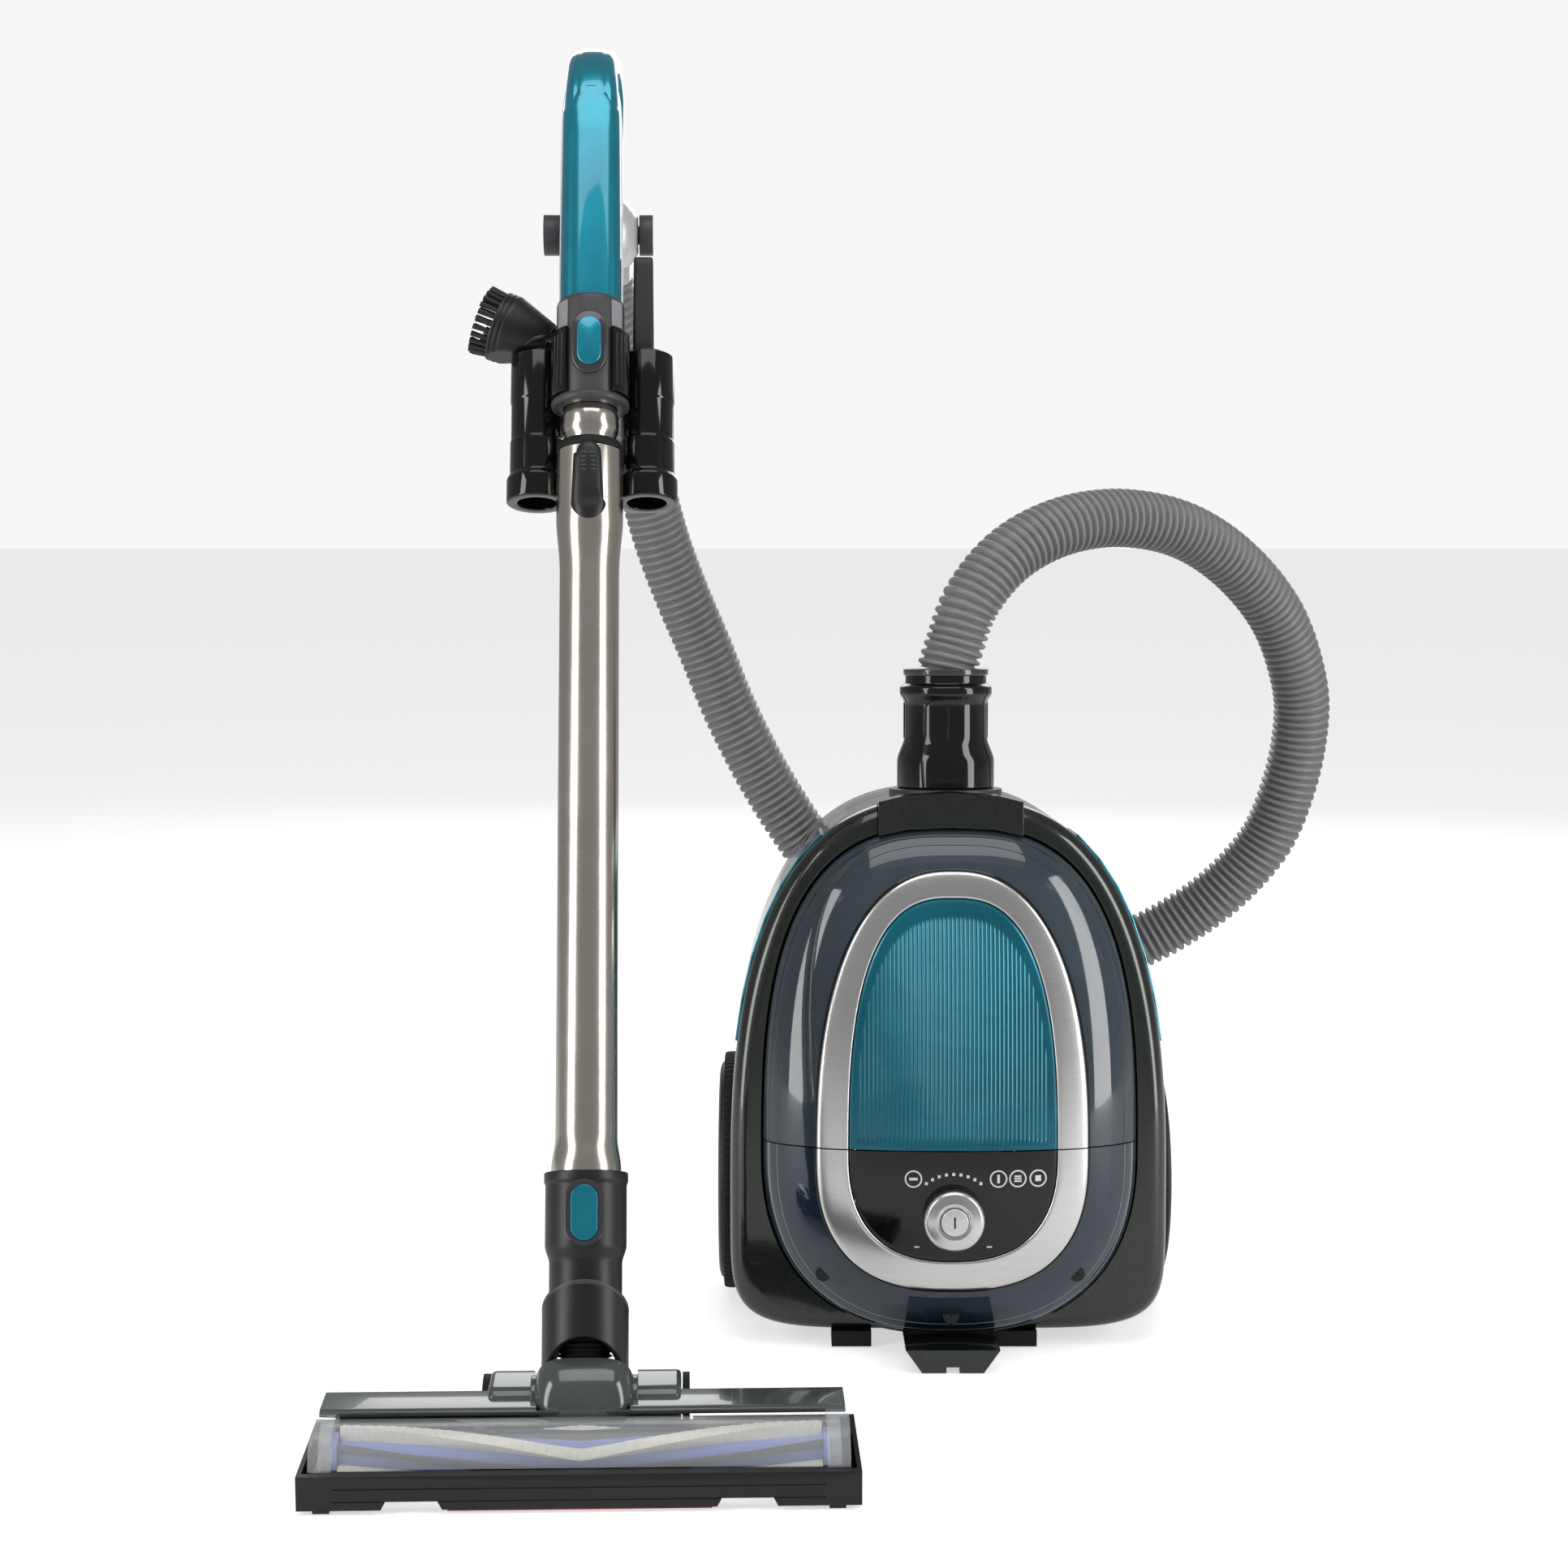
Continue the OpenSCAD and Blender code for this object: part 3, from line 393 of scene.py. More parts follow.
def smooth_path(points, steps):
    """A Catmull-Rom curve through points, with that many steps to each stretch."""
    p = np.asarray(points, float)
    p = np.concatenate([p[:1], p, p[-1:]])
    a, b, c, d = p[:-3, None], p[1:-2, None], p[2:-1, None], p[3:, None]
    t = (np.arange(steps) / steps)[None, :, None]
    curve = 0.5 * (2 * b + (c - a) * t + (2 * a - 5 * b + 4 * c - d) * t ** 2 + (3 * b - a - 3 * c + d) * t ** 3)
    return np.concatenate([curve.reshape(-1, p.shape[1]), p[-1:]])


def ellipse_section(a, b, count=40, squareness=2.0):
    """A superellipse section as (a, b) pairs."""
    t = np.linspace(0, 2 * np.pi, count, endpoint=False)
    return np.stack([a * power(np.cos(t), 2 / squareness), b * power(np.sin(t), 2 / squareness)], -1)


# ---------- finishes ----------
def group(name, inputs, build):
    """A node group with float or vector inputs and one Value output, filled in by build."""
    tree = bpy.data.node_groups.new(name, "ShaderNodeTree")
    for label, kind, default in inputs:
        socket = tree.interface.new_socket(label, in_out="INPUT", socket_type=kind)
        if kind == "NodeSocketFloat":
            socket.default_value = default
    tree.interface.new_socket("Value", in_out="OUTPUT", socket_type="NodeSocketFloat")
    start, end = tree.nodes.new("NodeGroupInput"), tree.nodes.new("NodeGroupOutput")
    tree.links.new(build(tree, start), end.inputs["Value"])
    return tree


def node(tree, kind, links=(), **settings):
    """A node with attributes and input values set, and inputs linked from (name, socket) pairs."""
    made = tree.nodes.new(kind)
    for key, value in settings.items():
        if key in made.inputs:
            made.inputs[key].default_value = value
        else:
            setattr(made, key, value)
    for key, socket in links:
        tree.links.new(socket, made.inputs[key])
    return made


def build_grain(tree, start):
    """Fine even noise for moulded texture."""
    noise = node(tree, "ShaderNodeTexNoise", [("Vector", start.outputs[0]), ("Scale", start.outputs[1])],
                 Detail=3.0, Roughness=0.6)
    return noise.outputs["Fac"]


def build_smudge(tree, start):
    """Broad soft patches, as handling leaves on gloss."""
    noise = node(tree, "ShaderNodeTexNoise", [("Vector", start.outputs[0]), ("Scale", start.outputs[1])],
                 Detail=5.0, Roughness=0.7, Distortion=0.8)
    ramp = node(tree, "ShaderNodeMapRange", [("Value", noise.outputs["Fac"])])
    ramp.inputs["From Min"].default_value, ramp.inputs["From Max"].default_value = 0.35, 0.75
    return ramp.outputs["Result"]


def build_flake(tree, start):
    """Small cells of random brightness, as in metallic paint."""
    cells = node(tree, "ShaderNodeTexVoronoi", [("Vector", start.outputs[0]), ("Scale", start.outputs[1])])
    return cells.outputs["Color"]


def build_brushed(tree, start):
    """Noise drawn out along the axis whose stretch is smallest."""
    stretch = node(tree, "ShaderNodeVectorMath", [(0, start.outputs[0]), (1, start.outputs[1])],
                   operation="MULTIPLY")
    noise = node(tree, "ShaderNodeTexNoise", [("Vector", stretch.outputs[0])], Scale=1.0, Detail=6.0,
                 Roughness=0.65)
    return noise.outputs["Fac"]


def make_groups():
    """The four shared effects."""
    vector, number = "NodeSocketVector", "NodeSocketFloat"
    return {
        "grain": group("Fine Grain", [("Vector", vector, 0), ("Scale", number, 900.0)], build_grain),
        "smudge": group("Smudge", [("Vector", vector, 0), ("Scale", number, 14.0)], build_smudge),
        "flake": group("Metal Flake", [("Vector", vector, 0), ("Scale", number, 1500.0)], build_flake),
        "brushed": group("Brushed", [("Vector", vector, 0), ("Stretch", vector, 0)], build_brushed),
    }


FINISHES = {}


def effect(tree, name, vector, scale=None, stretch=None):
    """One of the shared groups in a material; returns its value."""
    if name not in FINISHES["groups"]:
        raise ValueError("no effect called " + name)
    made = tree.nodes.new("ShaderNodeGroup")
    made.node_tree = FINISHES["groups"][name]
    tree.links.new(vector, made.inputs["Vector"])
    if scale is not None:
        made.inputs["Scale"].default_value = scale
    if stretch is not None:
        made.inputs["Stretch"].default_value = stretch
    return made.outputs["Value"]


def scaled(tree, value, low, high):
    """A value between low and high from one between 0 and 1."""
    ramp = node(tree, "ShaderNodeMapRange", [("Value", value)])
    ramp.inputs["To Min"].default_value, ramp.inputs["To Max"].default_value = low, high
    return ramp.outputs["Result"]


def tinted(tree, value, dark, light):
    """A colour between dark and light."""
    mix = tree.nodes.new("ShaderNodeMix")
    mix.data_type = "RGBA"
    mix.inputs["A"].default_value, mix.inputs["B"].default_value = (*dark, 1), (*light, 1)
    sockets = [s for s in mix.inputs if s.name in "AB" and s.type == "RGBA"]
    for socket, shade in zip(sockets, (dark, light)):
        socket.default_value = (*shade, 1)
    tree.links.new(value, mix.inputs[0])
    return [s for s in mix.outputs if s.type == "RGBA"][0]


def finish(name, base, rough, metallic=0.0, coat=0.0, alpha=1.0, grain=0.0, grain_scale=900.0,
           smudge=0.04, flake=0.0, brushed=None, variation=0.12, transmission=0.0, sheen=0.0, specular=0.5):
    """A principled finish whose colour, roughness and bump carry the shared effects."""
    made = bpy.data.materials.new(name)
    made.use_nodes = True
    tree = made.node_tree
    shader = tree.nodes["Principled BSDF"]
    where = tree.nodes.new("ShaderNodeTexCoord").outputs["Object"]
    base = np.asarray(base, float)
    patches = effect(tree, "smudge", where, scale=11.0)
    tone = effect(tree, "flake", where, scale=1600.0) if flake else patches
    spread = flake if flake else variation
    height = None
    if brushed is not None:
        tone = effect(tree, "brushed", where, stretch=brushed)
        height = tone
    elif grain:
        height = effect(tree, "grain", where, scale=grain_scale)
        tone = height if not flake else tone
    low, high = tuple(base * (1 - spread)), tuple(np.minimum(base * (1 + spread), 1))
    tree.links.new(tinted(tree, tone, low, high), shader.inputs["Base Color"])
    tree.links.new(scaled(tree, patches, rough, rough + smudge), shader.inputs["Roughness"])
    if height is not None:
        bump = node(tree, "ShaderNodeBump", [("Height", height)], Strength=min(grain, 1.0) if grain else 0.05,
                    Distance=0.0002)
        tree.links.new(bump.outputs["Normal"], shader.inputs["Normal"])
    for key, value in (("Metallic", metallic), ("Coat Weight", coat), ("Coat Roughness", 0.03),
                       ("Alpha", alpha), ("Transmission Weight", transmission), ("Sheen Weight", sheen),
                       ("Specular IOR Level", specular), ("IOR", 1.47)):
        shader.inputs[key].default_value = value
    return made


def make_finishes():
    """Every finish of the cleaner, by short name."""
    c = colours()
    FINISHES["groups"] = make_groups()
    spec = {
        "casing": dict(base=c.casing, rough=0.26, metallic=0.75, coat=1.0, flake=0.45),
        "casing_dark": dict(base=(0.012, 0.014, 0.012), rough=0.3, metallic=0.3, coat=0.8, flake=0.3),
        "teal": dict(base=c.teal, rough=0.22, metallic=0.65, coat=1.0, variation=0.15),
        "panel": dict(base=c.panel, rough=0.3, metallic=0.55, coat=0.6, variation=0.2),
        "smoke": dict(base=c.smoke, rough=0.05, metallic=0.0, coat=1.0, alpha=0.66, variation=0.15),
        "smoke_low": dict(base=(0.014, 0.026, 0.045), rough=0.05, coat=1.0, alpha=0.86, variation=0.15),
        "window": dict(base=(0.85, 0.88, 0.9), rough=0.02, alpha=0.16, coat=1.0, smudge=0.02, variation=0.02),
        "silver": dict(base=c.silver, rough=0.24, metallic=1.0, brushed=(35.0, 35.0, 1500.0), coat=0.2),
        "silver_paint": dict(base=(0.72, 0.72, 0.73), rough=0.28, metallic=0.55, coat=0.7, flake=0.12),
        "black_gloss": dict(base=(0.004, 0.004, 0.004), rough=0.09, coat=0.5, specular=0.3),
        "black_satin": dict(base=(0.009, 0.009, 0.009), rough=0.36, grain=0.35, grain_scale=1400.0),
        "grey": dict(base=(0.05, 0.05, 0.054), rough=0.38, grain=0.25, grain_scale=1300.0),
        "grey_light": dict(base=(0.27, 0.27, 0.28), rough=0.34, grain=0.2, grain_scale=1200.0),
        "grey_gloss": dict(base=(0.035, 0.035, 0.038), rough=0.16, coat=0.7),
        "rubber": dict(base=(0.009, 0.009, 0.009), rough=0.6, grain=0.5, grain_scale=1000.0, specular=0.3),
        "hose": dict(base=c.hose, rough=0.36, grain=0.2, grain_scale=900.0, smudge=0.1),
        "steel": dict(base=c.steel, rough=0.17, metallic=1.0, brushed=(1400.0, 1400.0, 18.0), smudge=0.08),
        "nozzle": dict(base=c.nozzle, rough=0.16, coat=0.7, variation=0.08),
        "bumper": dict(base=(0.012, 0.009, 0.008), rough=0.38, grain=0.3, grain_scale=1300.0),
        "brush_blue": dict(base=(0.15, 0.2, 0.55), rough=0.35, grain=0.15),
        "cream": dict(base=(0.78, 0.7, 0.6), rough=0.75, brushed=(1500.0, 260.0, 260.0), sheen=0.4,
                      variation=0.45),
        "bristle": dict(base=(0.012, 0.012, 0.013), rough=0.5, brushed=(60.0, 1500.0, 1500.0), variation=0.5),
        "felt": dict(base=(0.34, 0.012, 0.02), rough=0.9, grain=1.0, grain_scale=1800.0, sheen=0.6),
        "mark": dict(base=(0.72, 0.74, 0.75), rough=0.4),
        "motor": dict(base=(0.5, 0.5, 0.5), rough=0.3, metallic=1.0, brushed=(900.0, 900.0, 40.0)),
        "board": dict(base=(0.01, 0.12, 0.04), rough=0.4, grain=0.3),
        "filter": dict(base=(0.75, 0.74, 0.7), rough=0.8, grain=1.0, grain_scale=700.0),
        "screw": dict(base=(0.55, 0.55, 0.56), rough=0.25, metallic=1.0, grain=0.2),
    }
    for name, values in spec.items():
        values = {k: (tuple(v) if k == "base" else v) for k, v in values.items()}
        FINISHES[name] = finish("Cleaner " + name.replace("_", " "), **values)


def paint_nodes(pairs, bevel=0.0):
    """Gives kept frame nodes their finishes, with a small bevel where one is asked for."""
    for name, look in pairs:
        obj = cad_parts[name]
        obj.data.materials.clear()
        obj.data.materials.append(FINISHES[look])
        if bevel:
            weld = obj.modifiers.new("weld", "WELD")
            weld.merge_threshold = 0.00001
            edge = obj.modifiers.new("edge", "BEVEL")
            edge.width, edge.segments, edge.limit_method = bevel * MM, 2, "ANGLE"
            edge.angle_limit = radians(40)


class BuildStep:
    """Shared frame of every building operator."""
    bl_options = {"REGISTER", "UNDO"}

    def execute(self, context):
        """Builds this group of pieces; an error inside stops the script."""
        if "groups" not in FINISHES:
            make_finishes()
        self.build()
        return {"FINISHED"}


# ---------- stage ----------
def area_light(name, at, target, size, watts, tone=(1, 1, 1)):
    """A soft rectangular lamp that faces a point."""
    data = bpy.data.lights.new(name, "AREA")
    data.shape, data.size, data.size_y, data.energy, data.color = "RECTANGLE", size[0], size[1], watts, tone
    lamp = bpy.data.objects.new(name, data)
    lamp.location = at
    lamp.rotation_mode = "QUATERNION"
    lamp.rotation_quaternion = (Vector(target) - Vector(at)).to_track_quat("-Z", "Y")
    bpy.context.collection.objects.link(lamp)


def studio_world():
    """White to the camera and a softer grey to everything else."""
    world = bpy.data.worlds.new("Studio")
    world.use_nodes = True
    tree = world.node_tree
    tree.nodes.clear()
    path = tree.nodes.new("ShaderNodeLightPath")
    seen = node(tree, "ShaderNodeBackground", Color=(1.0, 1.0, 1.0, 1), Strength=0.93)
    ambient = node(tree, "ShaderNodeBackground", Color=(0.95, 0.97, 1.0, 1), Strength=0.27)
    mix = node(tree, "ShaderNodeMixShader", [("Fac", path.outputs["Is Camera Ray"])])
    tree.links.new(ambient.outputs[0], mix.inputs[1])
    tree.links.new(seen.outputs[0], mix.inputs[2])
    tree.links.new(mix.outputs[0], tree.nodes.new("ShaderNodeOutputWorld").inputs["Surface"])
    bpy.context.scene.world = world


class CLEANER_OT_stage(BuildStep, bpy.types.Operator):
    """Camera, pale floor, soft boxes and plain surroundings"""
    bl_idname = "cleaner.stage"
    bl_label = "Stage"

    def build(self):
        """Sets the camera level with the handle, looking slightly down."""
        camera = bpy.data.objects.new("Camera", bpy.data.cameras.new("Camera"))
        camera.data.lens, camera.data.sensor_width = 64.29, 36.0
        camera.location = (0.007, -1.6664, 0.595)
        camera.rotation_euler = (radians(82), 0, 0)
        bpy.context.collection.objects.link(camera)
        bpy.context.scene.camera = camera
        plane = bpy.data.meshes.new("Floor")
        corner = 9.0
        plane.from_pydata([(-corner, -corner, -0.0008), (corner, -corner, -0.0008), (corner, corner, -0.0008),
                           (-corner, corner, -0.0008)], [], [(0, 1, 2, 3)])
        floor = bpy.data.objects.new("Floor", plane)
        look = bpy.data.materials.new("Floor")
        look.use_nodes = True
        shader = look.node_tree.nodes["Principled BSDF"]
        shader.inputs["Base Color"].default_value = (0.83, 0.83, 0.83, 1)
        shader.inputs["Roughness"].default_value = 0.7
        shader.inputs["Emission Color"].default_value = (1, 1, 1, 1)
        seen = look.node_tree.nodes.new("ShaderNodeLightPath").outputs["Is Camera Ray"]
        look.node_tree.links.new(scaled(look.node_tree, seen, 0.1, 0.6), shader.inputs["Emission Strength"])
        plane.materials.append(look)
        bpy.context.collection.objects.link(floor)
        studio_world()
        middle = (0.05, 0.0, 0.4)
        area_light("Left box", (-1.5, -0.9, 0.75), middle, (0.55, 1.7), 17)
        area_light("Right box", (1.55, -0.75, 0.75), middle, (0.5, 1.7), 17)
        area_light("Top box", (0.1, -0.5, 2.1), middle, (1.7, 1.1), 13)
        area_light("Back box", (0.2, 1.9, 1.2), middle, (1.6, 1.2), 12)
        bpy.context.scene.view_settings.view_transform = "Standard"


# ---------- hose ----------
HOSE_START = (115.0, 116.6, 415.7)
HOSE_END = (-105.3, 178.3, 664.7)
HOSE_POINTS = [
    (120, 118, 432), (132, 122, 463), (157, 135, 491), (193, 155, 508), (235, 180, 512),
    (279, 205, 502), (318, 228, 477), (350, 248, 440), (368, 262, 395), (371, 270, 360),
    (365, 277, 320), (351, 283, 281), (324, 288, 247), (291, 292, 221), (257, 294, 203),
    (211, 296, 187), (165, 296, 180), (118, 295, 188), (72, 292, 218), (31, 288, 273),
    (0, 283, 322), (-25, 275, 372), (-43, 266, 418), (-58, 256, 455), (-71, 245, 492),
    (-81, 232, 531), (-90, 216, 574), (-98, 200, 612), (-103, 187, 640)]
HOSE_SHIFT = (-4.6, 0.0, 0.0)
HOSE_DIAMETER = 40.0


def even_path(path, step):
    """The same line with points every step along it."""
    run = np.concatenate([[0], np.cumsum(np.linalg.norm(np.diff(path, axis=0), axis=1))])
    at = np.linspace(0, run[-1], int(run[-1] / step) + 1)
    return np.stack([np.interp(at, run, path[:, k]) for k in range(3)], -1), at


class CLEANER_OT_hose(BuildStep, bpy.types.Operator):
    """The corrugated hose from the canister's inlet to the handle"""
    bl_idname = "cleaner.hose"
    bl_label = "Hose"

    def build(self):
        """Radius: core plus a ridge whose crest winds once round per pitch, as half an ellipse."""
        s = sizes()
        line = np.array([HOSE_START, *HOSE_POINTS, HOSE_END], float) + HOSE_SHIFT
        path, run = even_path(smooth_path(line, 24), 0.72)
        turn = np.linspace(0, 2 * np.pi, 32, endpoint=False)
        pitch, depth = s.hose_pitch / MM, s.hose_depth / MM
        phase = np.mod(run[:, None] / pitch - turn[None] / (2 * np.pi), 1.0)
        share_up = 0.70
        crest = np.sqrt(np.clip(1 - ((phase - 0.5) / (share_up / 2)) ** 2, 0, 1)) ** 0.8
        radius = HOSE_DIAMETER / 2 - 0.7 - depth + depth * crest
        section = np.stack([radius * np.cos(turn), radius * np.sin(turn)], -1)
        grid = sweep(path, (0, 1, 0), section)
        hose = Solid().tube(grid).build("hose_skin", FINISHES["hose"], "canister", sharp=radians(75),
                                        slot="hose_grey", replaces=("hose",))


# ---------- canister ----------
def even_angles(shape, count):
    """Angles whose points lie evenly along an egg outline."""
    t = np.linspace(-np.pi / 2, 1.5 * np.pi, 8001)
    x, z = egg(t, *shape)
    run = np.concatenate([[0], np.cumsum(np.hypot(np.diff(x), np.diff(z)))])
    return np.interp(np.linspace(0, run[-1], count + 1)[:-1], run, t)


def quarter(radius, steps, start):
    """(inset, depth) pairs round a quarter of a rounding, from the face to the side."""
    t = np.linspace(0, np.pi / 2, steps)
    if start == "front":
        return [(radius * (1 - np.sin(a)), radius * (1 - np.cos(a))) for a in t]
    return [(radius * (1 - np.cos(a)), radius * np.sin(a)) for a in t]


def carried(rows, angles):
    """Loops of an outline: each row is (outline, growth, depth y), carried round the same angles."""
    loops = []
    for shape, grow, depth in rows:
        x, z = egg(angles, *shape, grow=grow)
        loops.append(np.stack([x, np.full_like(x, depth), z], -1))
    return np.stack(loops)


def floor_line(points, level):
    """Keeps points that would reach under the floor line at that height."""
    world = in_canister(points)
    low = world[..., 2] < level
    lift = (level - world[..., 2]) / np.cos(np.radians(CANISTER_LEAN))
    points = points.copy()
    points[..., 2] += np.where(low, lift, 0)
    return points


def canister_cutter(grid):
    """A closed helper mesh in the canister's frame, for cut_away()."""
    return Solid().tube(grid).object("cutter", in_canister)


def wheel_cutters():
    """The room of both wheels."""
    return [canister_cutter(disc(79.5, s * 126.0, s * 160.0, "x", WHEEL_AT, 0.0, 128)) for s in (-1, 1)]


class CLEANER_OT_casing(BuildStep, bpy.types.Operator):
    """The two painted halves of the canister's casing"""
    bl_idname = "cleaner.casing"
    bl_label = "Casing"

    def build(self):
        """Closed profiles carried round the egg outline, then cut for the wheels, latch and inlet."""
        angles = even_angles(BODY, 420)
        front = [(COVER, 0.9, 6.0), (COVER, 0.9, 0.9), (COVER, 1.4, 0.2)]
        front += [(BODY, -i + 0.15, d) for i, d in quarter(12.0, 9, "front")]
        front += [(BODY, 0.15, 30.0), (BODY, 0.15, 60.0), (BODY, 0.15, 87.0), (BODY, -0.4, 87.7)]
        inner = [(BODY, -2.0, 87.7), (BODY, -2.0, 60.0), (BODY, -2.0, 14.0), (BODY, -12.0, 3.0), (COVER, 3.4, 6.0)]
        grid = floor_line(carried(front + inner, angles), 4.2)
        skin = Solid().ring(grid).build("front_casing", FINISHES["casing"], "canister", in_canister,
                                        slot="casing", replaces=("frame_casing",))
        wheels = wheel_cutters()
        latch = canister_cutter(block((-45.4, -30, 318), (45.4, 17, 380), 3.0))
        inlet = canister_cutter(disc(32.0, 300, 400, "z", INLET_AT, 0.0, 96))
        cut_away(skin, *wheels, latch, inlet)
        back = [(BODY, -0.4, 88.3), (BODY, 0.15, 89.0), (BODY, 0.15, 120.0)]
        back += [(BODY, -i + 0.15, 158.0 + d) for i, d in quarter(13.8, 10, "back")]
        outer = floor_line(spread_in(carried(back, angles), 171.8), 4.2)
        inside = [(BODY, -2.6, 88.3), (BODY, -2.6, 120.0), (BODY, -2.6, 156.0), (BODY, -8.0, 166.0),
                  (BODY, -15.0, 169.9)]
        inner = floor_line(spread_in(carried(inside, angles), 169.9), 6.0)
        ring = np.concatenate([outer, inner[::-1]])
        shell = Solid().ring(ring).build("back_casing", FINISHES["casing"], "canister", in_canister,
                                         slot="casing", replaces=("base_casing",))
        wheels = wheel_cutters()
        pocket = canister_cutter(disc(30.0, 140, 190, "y", CASTER_AT, 0.0, 96))
        door = canister_cutter(block((-55.0, 140, 21), (55.0, 190, 121.6), 1.0))
        cut_away(shell, *wheels, pocket, door)
        walls = Solid()
        for s in (-1, 1):
            ring = disc(80.8, s * 121.2, s * 126.2, "x", WHEEL_AT, 0.4, 128)
            points, faces = closed(ring)
            walls.add(floor_line(points, 4.2), faces)
        walls.build("wheel_bays", FINISHES["black_satin"], "canister", in_canister, slot="black_satin")
        plate = Solid().tube(disc(30.6, 159.3, 160.2, "y", CASTER_AT, 0.2, 96))
        plate.build("caster_plate", FINISHES["black_satin"], "canister", in_canister, slot="black_satin")


def spread_in(grid, depth):
    """Adds rows that run from the last loop towards the middle of a flat back."""
    middle = np.array([0.0, depth, 150.0])
    steps = np.linspace(0.1, 0.98, 10)
    return np.concatenate([grid, np.stack([grid[-1] + (middle - grid[-1]) * k for k in steps])])


def closed(grid):
    """Points and faces of a grid whose columns wrap, with fans over both ends."""
    made = Solid().tube(grid)
    return made.points[0], made.faces[0]


def half_ring_rows(outer_shape, inner_shape, upper, shares, count, outer_grow=0.0, inner_grow=0.0, level=None):
    """Rows of x and z that pass from one half outline to another, both from side to side."""
    xo, zo = half_turn(outer_shape, count, upper, outer_grow, level)
    xi, zi = half_turn(inner_shape, count, upper, inner_grow, level)
    w = np.asarray(shares)[:, None]
    return xo * (1 - w) + xi * w, zo * (1 - w) + zi * w


def edge_dense(count, ends=2.2):
    """Shares from 0 to 1, closer together near 0."""
    return np.linspace(0, 1, count) ** ends


class CLEANER_OT_covers(BuildStep, bpy.types.Operator):
    """The clear bin cover and the clear lower cover, domed"""
    bl_idname = "cleaner.covers"
    bl_label = "Covers"

    def build(self):
        """Depth is the crown times the root of 1 - share^2.2, from the rim in to the bezel."""
        for upper, name, look, body, node_name in (
                (True, "bin_cover_skin", "smoke", "dirt_bin", "bin_cover"),
                (False, "lower_cover_skin", "smoke_low", "canister", "lower_cover")):
            x, z = half_ring_rows(COVER, RING_OUTER, upper, edge_dense(44), 181, -0.2, -4.0)
            y = bulge(x, z, 0.0, 0.0)
            outer = np.stack([x, y, z], -1)
            rim = outer[:1].copy()
            rim[..., 1] = 5.0
            outer = np.concatenate([rim, outer])
            rho = share(outer[..., 0], outer[..., 2], COVER)[..., None]
            inner = outer + np.array([0, 2.6, 0])
            middle = np.array([0.0, 0.0, COVER[5]])
            inner = middle + (inner - middle) * np.where(rho > 0.9, [[[0.978, 1.0, 0.978]]], 1.0)
            inner[:, [0, -1], 2] = outer[:, [0, -1], 2]
            Solid().sheet(outer, inner).build(name, FINISHES[look], body, in_canister, slot="smoke_clear",
                                              replaces=(node_name,))
        lines = Solid()
        for shift, width in ((-3.2, 0.9), (-9.5, 0.5)):
            lines.sheet(*rim_line(True, shift, width))
        lines.build("bin_rim_lines", FINISHES["casing_dark"], "dirt_bin", in_canister, slot="smoke_clear")
        lines = Solid()
        for shift, width in ((-3.2, 0.9), (-8.5, 0.6)):
            lines.sheet(*rim_line(False, shift, width))
        lines.build("lower_rim_lines", FINISHES["grey_light"], "canister", in_canister, slot="smoke_clear")
        plugs = Solid()
        for x, z in ((-79.0, 52.0), (78.0, 52.0), (0.0, 25.5)):
            y = float(bulge(np.array(x), np.array(z)))
            plugs.ring(revolve(rounded([(0.4, y - 0.9), (5.0, y - 0.9), (5.0, y + 3), (0.4, y + 3)], 0.7), "y",
                               (x, z), 40))
        plugs.build("lower_plugs", FINISHES["black_satin"], "canister", in_canister, slot="black_satin")


def rim_line(upper, shift, width):
    """A thin raised line along the cover, shift millimetres in from its rim."""
    x, z = half_ring_rows(COVER, COVER, upper, (0, 0.5, 1), 161, shift, shift - width)
    y = bulge(x, z, 0.22, 0.0)
    y[[0, -1]] += 0.3
    outer = np.stack([x, y, z], -1)
    return outer, outer + np.array([0, 0.7, 0])


class CLEANER_OT_bezels(BuildStep, bpy.types.Operator):
    """The silver ring round the bin panel and the control panel, in two halves"""
    bl_idname = "cleaner.bezels"
    bl_label = "Bezels"

    def build(self):
        """Stands proud of the dome with rolled edges, parted at the seam."""
        shares = np.array([0, 0.006, 0.02, 0.05, 0.1, 0.18, 0.35, 0.55, 0.75, 0.86, 0.93, 0.97, 0.99, 1.0])
        proud = np.array([-0.8, 0.9, 1.5, 1.9, 2.1, 2.2, 2.2, 2.15, 2.1, 2.0, 1.8, 1.3, 0.7, -0.8])
        for upper, name, body, node_name in ((True, "bin_bezel_skin", "dirt_bin", "bin_bezel"),
                                             (False, "lower_bezel_skin", "canister", "lower_bezel")):
            x, z = half_ring_rows(RING_OUTER, RING_INNER, upper, shares, 241, 0.0, 0.5)
            outer = np.stack([x, bulge(x, z) - proud[:, None], z], -1)
            inner = np.stack([x, bulge(x, z) + 0.9, z], -1)
            Solid().sheet(outer, inner).build(name, FINISHES["silver"], body, in_canister, slot="silver",
                                              replaces=(node_name,))
            x, z = half_ring_rows(RING_OUTER, RING_OUTER, upper, (0, 0.5, 1), 201, 1.3, 0.1)
            dark = np.stack([x, bulge(x, z) - np.array([[0.15], [0.5], [0.15]]), z], -1)
            Solid().sheet(dark, dark + np.array([0, 1.0, 0])).build(
                name.replace("bezel_skin", "bezel_gap"), FINISHES["black_gloss"], body, in_canister,
                slot="black_gloss")


